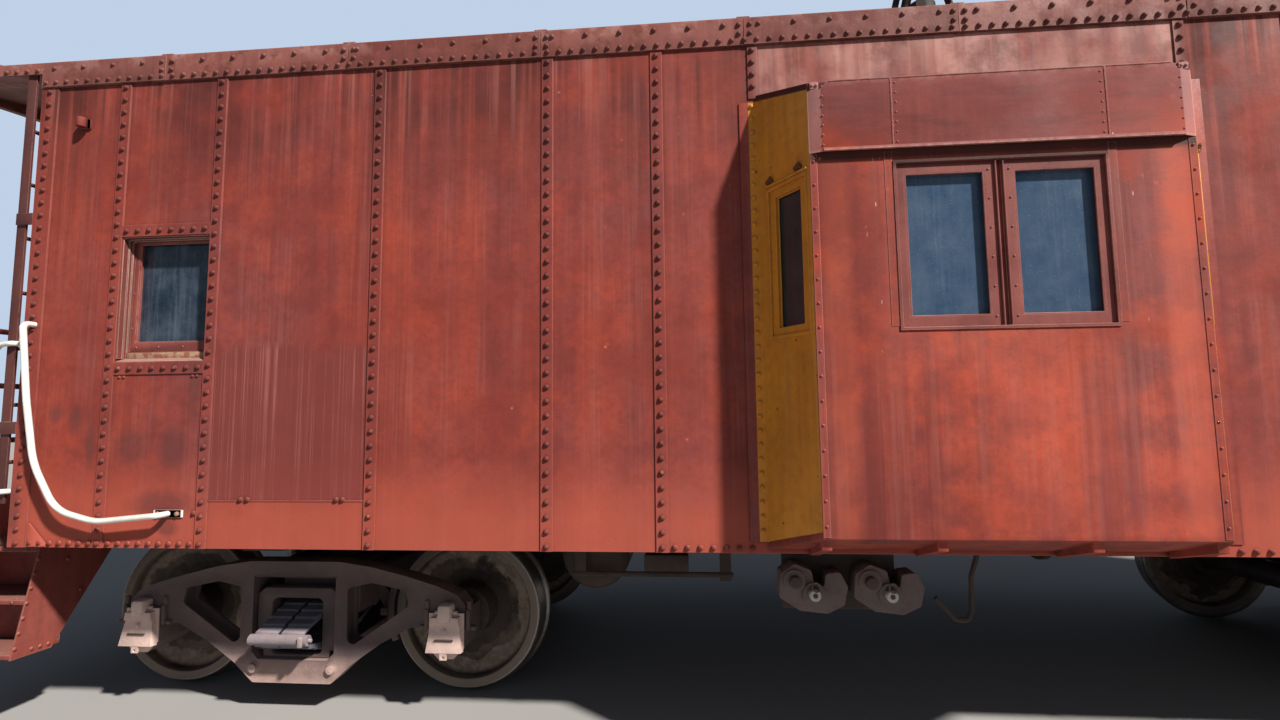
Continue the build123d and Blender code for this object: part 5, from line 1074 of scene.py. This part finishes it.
def select_faces(piece, wanted):
    """Leaves the piece in edit mode with only the wanted faces selected."""
    bpy.ops.object.mode_set(mode="EDIT")
    bpy.ops.mesh.select_all(action="DESELECT")
    bpy.ops.object.mode_set(mode="OBJECT")
    for face in piece.data.polygons:
        face.select = wanted(face)
    bpy.ops.object.mode_set(mode="EDIT")


def bolt_head(radius, rise):
    """One hexagon head on its base at the origin, its top drawn in a little."""
    leave_all()
    bpy.ops.mesh.primitive_cylinder_add(vertices=6, radius=radius, depth=rise, location=(0, 0, rise / 2))
    head = settle(bpy.context.object)
    select_faces(head, lambda face: face.normal.z > 0.9)
    bpy.ops.mesh.inset(thickness=radius * 0.16)
    bpy.ops.transform.translate(value=(0, 0, rise * 0.18))
    bpy.ops.object.mode_set(mode="OBJECT")
    return head


def spaced(start, end, pitch):
    """Evenly spaced numbers from start to end, close to the pitch."""
    count = max(1, round(abs(end - start) / pitch))
    return [start + (end - start) * index / count for index in range(count + 1)]


def stepped(start, pitch, count):
    return [start + step * pitch for step in range(count)]


def outward(points, face):
    """Points (x, z) on a plane of the far side, facing outwards."""
    return [((x, face, z), OUTWARD) for x, z in points]


def on_both_sides(points, face):
    """Points (x, z) on the near and the far side, facing outwards."""
    return [((x, side * face, z), (0, side, 0)) for x, z in points for side in (-1, 1)]


def at_corners(places):
    """Places and directions repeated at the car's four corners."""
    return [
        ((along * x, across * y, z), (along * a, across * b, c))
        for (x, y, z), (a, b, c) in places
        for along in (-1, 1)
        for across in (-1, 1)
    ]


def at_two_ends(places):
    """Places and directions repeated at the other end, turned half a turn."""
    return places + [((-x, -y, z), (-a, -b, c)) for (x, y, z), (a, b, c) in places]


def scattered(name, head, places, finish, body="car"):
    """One mesh with a copy of a small head at every place. Each place is a point and the way it faces."""
    corners = [vertex.co.copy() for vertex in head.data.vertices]
    faces = [tuple(face.vertices) for face in head.data.polygons]
    all_corners, all_faces = [], []
    for point, facing in places:
        turn = Vector(facing).to_track_quat("Z", "Y")
        base = len(all_corners)
        all_corners.extend(turn @ corner + Vector(point) for corner in corners)
        all_faces.extend(tuple(base + corner for corner in face) for face in faces)
    mesh = bpy.data.meshes.new(name)
    mesh.from_pydata(all_corners, [], all_faces)
    mesh.update()
    bpy.data.objects.remove(head)
    piece = bpy.data.objects.new(name, mesh)
    bpy.context.collection.objects.link(piece)
    pick(piece)
    bpy.ops.object.shade_smooth_by_angle(angle=radians(50))
    finished(piece, finish, body)


# Sides

SKIRT_ROW = 0.945
WINDOW_ROW = (4.045, 3.627)
LETTERBOARD_HALF = 4.560


def side_rivets():
    """Columns on the side straps, rows over and under the windows and along the skirt."""
    straps = [(x, z) for x in STRAP_COLUMNS for z in spaced(SKIRT_ROW, 3.228, 0.066)]
    for z in (SIDE_WINDOW_LOW - 0.030, SIDE_WINDOW_TOP + 0.030):
        straps += [(x, z) for x in spaced(*WINDOW_ROW, 0.058)]
    skirt = [(3.612, 1.088)] + [(x, 1.152) for x in (3.380, 3.345, 2.905, 2.875)]
    for start, end, pitch in ((4.455, 4.145, 0.053), (*WINDOW_ROW, 0.053), (1.330, 0.990, 0.060)):
        skirt += [(x, SKIRT_ROW) for x in spaced(start, end, pitch)]
    places = at_corners(outward(straps, STRAP_FACE) + outward(skirt, HALF_WIDTH))
    scattered("side_rivets", rivet_head(*STRAP_RIVET), places, CHALKY_RED)
    apron = [(x, 1.742) for x in (4.040, 4.016, 3.656, 3.632)]
    places = at_corners(outward(apron, HALF_WIDTH))
    scattered("window_apron_bolts", rivet_head(0.008, 0.006), places, CHALKY_RED)


def letterboard():
    """Sheets of the letterboard, each second one lapped over its neighbours, with their rivets."""
    plates = []
    for index in range(-5, 5):
        left = max(index * SHEET_PITCH, -LETTERBOARD_HALF) + 0.001
        right = min((index + 1) * SHEET_PITCH, LETTERBOARD_HALF) - 0.001
        proud = 0.0045 if index % 2 else 0.0022
        low = (left, -FASCIA_FACE - proud, EAVE + 0.002)
        high = (right, -FASCIA_FACE + 0.002, FASCIA_TOP - 0.004)
        plates.append(block("letterboard_sheet", low, high, 0.0012, 1))
    fitted("letterboard_sheets", plates, ROOF_RED, BOTH_SIDES)
    rows = [(x, 3.276) for x in spaced(-4.545, 4.545, 0.0585)]
    rows += [(x, 3.352) for x in spaced(-4.50, 4.50, 0.165)]
    for index in range(-4, 5):
        rows += [(index * SHEET_PITCH + off, z) for off in (-0.022, 0.030) for z in (3.352, 3.308)]
    fascia = [(end * x, 3.347) for x in spaced(4.600, 5.315, 0.0585) for end in (-1, 1)]
    places = on_both_sides(rows, FASCIA_FACE + 0.003) + on_both_sides(fascia, FASCIA_FACE)
    scattered("letterboard_rivets", rivet_head(0.0125, 0.0105), places, ROOF_RED)


def straps_over_bay():
    """Short straps from the bay's top corners up to the letterboard."""
    strap = block("strap", (-0.956, -STRAP_FACE, 2.990), (-0.909, -HALF_WIDTH + SUNK, 3.250), 0.0014, 1)
    fitted("straps_over_bay", [strap], CHALKY_RED)
    places = at_corners(outward([(0.935, z) for z in (3.049, 3.108, 3.168, 3.226)], STRAP_FACE))
    scattered("strap_rivets_over_bay", rivet_head(*STRAP_RIVET), places, CHALKY_RED)


def panel_joints():
    """The bead over the joint of the lower sheets, and the plates at the body's lower corners."""
    middle = PANEL_LOW
    low = (PANEL_LEFT, -HALF_WIDTH - 0.0028, middle - 0.0035)
    bead = block("bead", low, (PANEL_RIGHT, -HALF_WIDTH + SUNK, middle + 0.0035), 0.001, 1)
    fitted("panel_joint_beads", [bead], CHALKY_RED)
    low = (-4.470, -HALF_WIDTH - 0.005, 0.926)
    gusset = block("gusset", low, (-4.360, -HALF_WIDTH + SUNK, 1.040), 0.002, 1)
    corner, slope = (-4.372, -HALF_WIDTH, 0.948), (0.72, 0, 0.69)
    bpy.ops.object.mode_set(mode="EDIT")
    bpy.ops.mesh.select_all(action="SELECT")
    bpy.ops.mesh.bisect(plane_co=corner, plane_no=slope, use_fill=True, clear_outer=True)
    bpy.ops.object.mode_set(mode="OBJECT")
    fitted("corner_gussets", [gusset], CHALKY_RED)


def side_window_joinery():
    """Stepped jamb boards, head board, wooden stop, glazing bead and screws of the small side windows."""
    left, right = -SIDE_WINDOW_X - SIDE_WINDOW_HALF, -SIDE_WINDOW_X + SIDE_WINDOW_HALF
    top = SIDE_WINDOW_TOP
    boards = []
    for face, back, thick in ((1.4715, 1.4445, 0.007), (1.4445, 1.4285, 0.013), (1.4285, 1.4135, 0.019)):
        for x in (left, right - thick):
            low = (x, -face, SIDE_WINDOW_LOW + 0.020)
            boards.append(block("jamb_board", low, (x + thick, -back, top), 0.0015, 1))
        low = (left, -face, top - thick * 0.7)
        boards.append(block("head_board", low, (right, -back, top), 0.0015, 1))
    fitted("window_jambs", boards, JAMB_PAINT)
    stop = block("stop", (left + 0.019, -1.4335, 1.8335), (right - 0.019, -1.4115, 1.8650), 0.002, 2)
    fitted("window_stops", [stop], SILL_WOOD)
    face, slope = 1.4720, 0.42
    ledge = block("ledge", (left + 0.004, -face, 1.8155), (right - 0.004, -1.4310, 1.8195), 0.001, 1)
    for corner in ledge.data.vertices:
        corner.co.z += (corner.co.y + face) * slope
    fitted("window_ledges", [ledge], LEDGE_PINK)
    bead = ring("bead", (-SIDE_WINDOW_X, -1.400, 2.172), 0.404, 0.520, 0.012, 0.009)
    fitted("side_glazing_beads", [bead], SASH_MAROON)
    screws = [(SIDE_WINDOW_X + off, 1.8945) for off in (-0.185, -0.065, 0.065, 0.185)]
    screws += [(SIDE_WINDOW_X + off, z) for off in (-0.214, 0.214) for z in (1.99, 2.17, 2.35)]
    places = at_corners(outward(screws, 1.4130))
    scattered("sash_screws", rivet_head(0.005, 0.003), places, SASH_MAROON)


# Bay

def bay_joinery():
    """Glazing beads, rods and screws of the bay's front windows."""
    beads = [ring("bead", (x, -1.7350, BAY_WINDOW_Z), 0.318, 0.598, 0.011, 0.0075) for x in (-0.212, 0.212)]
    beads.append(ring("trim", (0, -1.7495, BAY_WINDOW_Z), 0.826, 0.698, 0.013, 0.006, 0.0015))
    fitted("bay_front_beads", beads, SASH_MAROON, BOTH_SIDES)
    stile = rod("stile_rod", (0.0145, -1.7475, 1.872), (0.0145, -1.7475, 2.532), 0.0045, 10)
    fitted("stile_rods", [stile], SASH_MAROON)
    places = at_corners(outward([(0.040, z) for z in stepped(1.905, 0.1192, 6)], 1.7430))
    scattered("bay_sash_screws", rivet_head(0.0048, 0.003), places, SASH_MAROON)


CHEEK_FACING = Vector((-sin(CHEEK_ANGLE), -cos(CHEEK_ANGLE), 0))


def on_cheek(along, out, z):
    """A point of the left near cheek: along it towards its front corner, out from it, and its height."""
    direction = Vector((cos(CHEEK_ANGLE), -sin(CHEEK_ANGLE), 0))
    return CHEEK_MIDDLE + direction * along + CHEEK_FACING * out + Vector((0, 0, z))


def cheek_joinery():
    """Bead round each cheek window, its drip strip and rusty brackets, and the cheek's rivets and screws."""
    turn = Matrix.Translation(on_cheek(0.022, 0, 0)) @ Matrix.Rotation(-CHEEK_ANGLE, 4, "Z")
    beads = [ring("bead", (0, SUNK, CHEEK_WINDOW_Z), 0.252, 0.680, 0.014, 0.005)]
    beads.append(ring("glazing", (0, 0.030, CHEEK_WINDOW_Z), 0.166, 0.594, 0.009, 0.008))
    beads.append(block("drip_strip", (-0.130, -0.009, 2.536), (0.130, SUNK, 2.546), 0.002, 1))
    brackets = []
    for x in (-0.118, 0.060):
        brackets.append(block("bracket", (x, -0.013, 2.552), (x + 0.042, SUNK, 2.566), 0.003, 2))
        brackets.append(rod("pin", (x + 0.006, -0.012, 2.558), (x + 0.036, -0.012, 2.575), 0.006, 10))
    for part in beads + brackets:
        part.data.transform(turn)
    fitted("cheek_window_beads", beads, MUSTARD)
    fitted("cheek_brackets", brackets, RUSTY_BRACKET)
    places = at_corners(outward([(0.943, z) for z in stepped(1.02, 0.0623, 32)], STRAP_FACE))
    scattered("bay_flange_rivets", rivet_head(0.0115, 0.008), places, MUSTARD)
    screws = [on_cheek(x, -0.0068, z) for z in (1.90, 2.05, 2.20, 2.35, 2.49) for x in (-0.080, 0.124)]
    places = at_corners([(screw, CHEEK_FACING) for screw in screws])
    scattered("cheek_screws", rivet_head(0.0045, 0.003), places, MUSTARD)


def hood_fittings():
    """Seams, brackets, bolts and rivets of the rain hood, and the strips of the bay's front."""
    low = (HOOD_SEAM_X - 0.0035, -1.7722, 2.608)
    seam = block("hood_seam", low, (HOOD_SEAM_X + 0.0035, -1.7690, 2.894), 0.0012, 1)
    bracket = block("hood_bracket", (0.697, -1.7575, 2.868), (0.733, -1.7490, 2.8995), 0.002, 1)
    fold = block("hood_top_fold", (-0.660, -1.7722, 2.8905), (0.660, -1.7660, 2.8960), 0.0015, 1)
    trim = [seam, bracket, fold, copy_of(seam, OTHER_END), copy_of(bracket, OTHER_END)]
    fitted("hood_seams", trim, HOOD_RED, BOTH_SIDES)
    corner = block("corner_strip", (0.712, -1.7524, 1.046), (0.7425, -1.7480, 2.592), 0.0015, 1)
    beside = block("window_strip", (0.4135, -1.7518, 1.870), (0.446, -1.7480, 2.590), 0.0012, 1)
    fitted("bay_corner_strips", [corner, beside], BAY_RED)
    places = at_corners(outward([(x, 2.884) for x in (0.706, 0.724)], 1.7575))
    scattered("hood_bolts", bolt_head(0.006, 0.005), places, HOOD_RED)
    rivets = [(x, z) for x in (0.395, HOOD_SEAM_X, 0.688) for z in spaced(2.622, 2.872, 0.042)]
    places = at_corners(outward(rivets, 1.7698))
    scattered("hood_rivets", rivet_head(0.0042, 0.0024), places, HOOD_RED)
    places = at_corners(outward([(0.727, z) for z in spaced(1.09, 2.56, 0.098)], 1.7522))
    scattered("bay_front_rivets", rivet_head(0.006, 0.004), places, BAY_RED)


# Ends, platforms and roof

def grab_bolts():
    """Bolts and plates at the feet of the long grab irons, and the bolts of the ladders' plates."""
    places = at_corners(outward([(x, 1.086) for x in (3.790, 3.690)], 1.4795))
    scattered("grab_foot_bolts", bolt_head(0.011, 0.008), places, RUSTY_WHITE)
    foot = block("foot", (-3.806, -1.4800, 1.067), (-3.672, -1.4725, 1.105), 0.0015, 1)
    fitted("grab_foot_plates", [foot], RUSTY_WHITE)
    three = ((4.590, -0.016), (4.590, 0.016), (4.626, 0.0))
    bolts = outward([(x, z + off) for z in LADDER_PLATES for x, off in three], 1.4685)
    scattered("ladder_bolts", bolt_head(0.009, 0.006), at_two_ends(bolts), LADDER_MAROON)


def step_fittings():
    """Rivets along both faces of the step stringers, and on the treads' tops and noses."""
    inner, outer = HALF_LENGTH - 0.0005, 5.2825
    edge = [(1.408 - index / 9 * 0.120, 0.420 + index / 9 * 0.620) for index in range(10)]
    feet = [(1.330, 0.394), (1.290, 0.392), (1.250, 0.390), (1.10, 0.62), (1.18, 0.80), (1.00, 0.95)]
    places = [((outer, y, z), ENDWARD) for y, z in edge]
    places += [((inner, y, z), (-1, 0, 0)) for y, z in edge + feet]
    scattered("stringer_bolts", rivet_head(0.010, 0.006), at_corners(places), STEP_RED)
    places = []
    for top, out in ((0.394, 1.420), (0.640, 1.370), (0.886, 1.320)):
        for x in (4.65, 4.80, 4.95, 5.10, 5.23):
            places += [((x, out - 0.022, top), (0, 0, 1)), ((x, out + 0.0005, top - 0.011), OUTWARD)]
    scattered("tread_rivets", rivet_head(0.007, 0.004), at_corners(places), STEP_RED)


def end_rivets():
    """Rivets round the end walls and along the end sills."""
    wall = [(y, z) for z in stepped(1.20, 0.066, 31) for y in (1.360, 0.520)]
    wall += [(y, 1.168) for y in stepped(0.560, 0.0615, 14)]
    wall += [(y, z) for y in stepped(0.700, 0.0572, 8) for z in (1.784, 2.475)]
    places = at_corners([((HALF_LENGTH, y, z), ENDWARD) for y, z in wall])
    scattered("end_wall_rivets", rivet_head(0.0115, 0.009), places, CHALKY_RED)
    places = at_corners([((PLATFORM_END, y, 1.108), ENDWARD) for y in stepped(0.10, 0.078, 17)])
    scattered("end_sill_rivets", rivet_head(0.012, 0.010), places, STEP_RED)


def roof_battens():
    """Two rows of rivets on every batten, over the arch of the roof."""
    radius = (FASCIA_FACE ** 2 + ROOF_RISE ** 2) / (2 * ROOF_RISE)
    centre = FASCIA_TOP + ROOF_RISE - radius
    places = []
    for x in [index * SHEET_PITCH + off for index in range(-5, 6) for off in (-0.018, 0.018)]:
        for y in [step * 0.0675 for step in range(-21, 22)]:
            z = centre + sqrt((radius + 0.0055) ** 2 - y ** 2)
            places.append(((x, y, z), (0, y / radius, (z - centre) / radius)))
    scattered("roof_batten_rivets", rivet_head(0.009, 0.004, 6), places, ROOF_RED)


def door_mouldings():
    """Mouldings round the end doors' lights and panels, with their kick plates."""
    on_door = Matrix.Translation((4.542, -0.0025, 0)) @ Matrix.Rotation(pi / 2, 4, "Z")
    for letter, turn in (("b", Matrix.Identity(4)), ("a", HALF_TURN)):
        light = ring("light_moulding", (0, 0.0005, 2.560), 0.428, 0.648, 0.016, 0.008)
        panel = ring("panel_moulding", (0, 0.0005, 1.690), 0.500, 0.860, 0.014, 0.006)
        kick = block("kick_plate", (-0.330, -0.003, 1.140), (0.330, SUNK, 1.236), 0.001, 1)
        moulding = joined("door_" + letter + "_mouldings", [light, panel, kick])
        moulding.data.transform(turn @ on_door)
        finished(moulding, DOOR_RED, "door_" + letter)


# Trucks and spare knuckles

def truck_castings():
    """Side frames with raised rims, and everything between them, with the rounded corners of castings."""
    for truck in ("truck_a", "truck_b"):
        node = truck + "_side_frames"
        side_frames = merged_copy(node, whole_faces=False)
        select_faces(side_frames, is_outer_web)
        bpy.ops.mesh.select_mode(type="FACE")
        bpy.ops.mesh.inset(thickness=0.011, depth=-0.005, use_even_offset=False)
        bpy.ops.object.mode_set(mode="OBJECT")
        stand_in(soften(side_frames, 0.004, 2, 34), node)
        softened(truck + "_cross_members", 0.007, 3, 30, clamp=False)
        softened(truck + "_bolster", 0.010, 3, 30)
        softened(truck + "_springs", 0.0018, 1, 40)
        softened(truck + "_brakes", 0.004, 2, 30, clamp=False)
        for number in ("_1", "_2"):
            softened(truck.replace("truck", "wheelset") + number, 0.0025, 2, 28, clamp=False)


def is_outer_web(face):
    """Whether a face of a side frame is its flat outer web."""
    return abs(face.normal.y) > 0.999 and abs(abs(face.center.y) - 1.090) < 0.0008


def journal_fittings():
    """On every journal box: the lug over the lid, a dark bar as painted shade in the lid's slot, the lid's
    bolt, and the guides beside it.
    """
    for body, middle in (("truck_a", -TRUCK_X), ("truck_b", TRUCK_X)):
        lugs, slot_shades, guides, bolts = [], [], [], []
        for x in (middle - WHEELBASE / 2, middle + WHEELBASE / 2):
            for side, turn in ((-1, Matrix.Identity(4)), (1, HALF_TURN)):
                turn = Matrix.Translation((x, 0, 0)) @ turn
                lug = block("lid_lug", (-0.036, -1.154, 0.492), (0.036, -1.070, 0.578), 0.019, 2)
                # A dark bar stands for the lid's slot: painted shade of the opening.
                slot = block("lid_slot_shade", (-0.048, -1.1480, 0.4000), (0.048, -1.1340, 0.4085), 0.001, 1)
                hook = block("guide_hook", (0.098, -1.106, 0.440), (0.121, -1.060, 0.545), 0.009, 2)
                lip = block("guide_lip", (0.121, -1.100, 0.440), (0.150, -1.066, 0.462), 0.007, 2)
                cap = rod("guide_bolt", (0.110, -1.085, 0.535), (0.110, -1.085, 0.585), 0.012, 12, 0.003)
                pair = [hook, lip, cap] + [copy_of(part, OTHER_END) for part in (hook, lip, cap)]
                for part in [lug, slot] + pair:
                    part.data.transform(turn)
                lugs.append(lug)
                slot_shades.append(slot)
                guides += pair
                bolts.append(((x, side * 1.1335, 0.446), (0, side, 0.16)))
        finished(joined(body + "_lid_lugs", lugs), LID_DUST_AND_PAINTED_SUN, body)
        finished(joined(body + "_lid_slot_shades", slot_shades), UNDER_BLACK, body)
        finished(joined(body + "_box_guides", guides), GUIDE_STEEL, body)
        scattered(body + "_lid_bolts", bolt_head(0.011, 0.008), bolts, LID_DUST_AND_PAINTED_SUN, body)
        clips = []
        for side in (-1, 1):
            y, x = side * 1.195, middle + 0.150
            clips.append(rod("roll_pin", (x, y, 0.410), (x + 0.022, y, 0.410), 0.010, 12, 0.003))
            low = (middle + 0.118, side * 1.222 - 0.010, 0.386)
            clips.append(block("roll_clip", low, (middle + 0.140, side * 1.222 + 0.006, 0.436), 0.004, 2))
        finished(joined(body + "_roll_clips", clips), ROLL_PINK, body)


def spare_knuckle_details():
    """Pins in the spare knuckles on the rack, white paint round their lower holes with dark discs as painted
    shade in the holes, and cotter loops.
    """
    pins, patches, loops = [], [], []
    for x in SPARE_KNUCKLES_X:
        pin_x, hole_z = x - 0.082, 0.740
        pins.append(rod("pin_end", (pin_x, -1.425, 0.794), (pin_x, -1.461, 0.794), 0.026, 20, 0.004))
        # A dark disc in the lower hole: painted shade of the hole.
        pins.append(rod("hole_shade_disc", (x, -1.440, hole_z), (x, -1.4590, hole_z), 0.011, 16, 0.001))
        patches.append(rod("white_patch", (x, -1.425, hole_z), (x, -1.4575, hole_z), 0.025, 20, 0.003))
        leave_all()
        bpy.ops.mesh.primitive_torus_add(
            major_radius=0.019, minor_radius=0.0032, major_segments=20, minor_segments=8,
            location=(x + 0.004, -1.456, 0.776), rotation=(radians(72), 0, 0.3),
        )
        loops.append(settle(bpy.context.object))
        bpy.ops.object.shade_smooth_by_angle(angle=radians(60))
    finished(joined("knuckle_pins_and_hole_shades", pins), COUPLER_DARK)
    finished(joined("knuckle_patches", patches), PIN_WHITE)
    finished(joined("knuckle_cotters", loops), COUPLER_STEEL)


# Node, width of the rounded edge, segments
for node, width, segments in (
    ("spare_knuckles", 0.010, 3), ("knuckle_rack", 0.003, 1),
    ("steps", 0.0015, 1), ("step_treads", 0.003, 2), ("step_risers", 0.001, 1),
    ("platforms", 0.003, 2), ("end_railings", 0.003, 2), ("ladders", 0.002, 2),
    ("hand_brakes", 0.005, 2), ("brake_cylinder", 0.006, 2), ("brake_valve", 0.008, 2),
    ("stove", 0.012, 2), ("bay_seats", 0.030, 3), ("lockers", 0.006, 2),
    ("window_frames", 0.002, 1), ("bay_window_frames", 0.002, 1), ("marker_brackets", 0.003, 2),
    ("body_bolsters", 0.004, 1), ("smoke_jack", 0.002, 1),
):
    softened(node, width, segments)
softened("couplers", 0.014, 3, finish=COUPLER_DARK)
softened("bay_hoods", 0.0014, 1, finish=HOOD_RED)
softened("bay_fronts", 0.0025, 2, finish=BAY_RED)
softened("bay_cheeks", 0.0022, 2)
softened("cheek_window_frames", 0.0020, 1, finish=MUSTARD)
softened("side_wall_near", 0.0014, 1)
softened("side_wall_far", 0.0014, 1)
side_rivets()
letterboard()
straps_over_bay()
panel_joints()
side_window_joinery()
bay_joinery()
cheek_joinery()
hood_fittings()
grab_bolts()
truck_castings()
journal_fittings()
spare_knuckle_details()
step_fittings()
end_rivets()
roof_battens()
door_mouldings()
set_camera()
set_studio()
lay_floor()
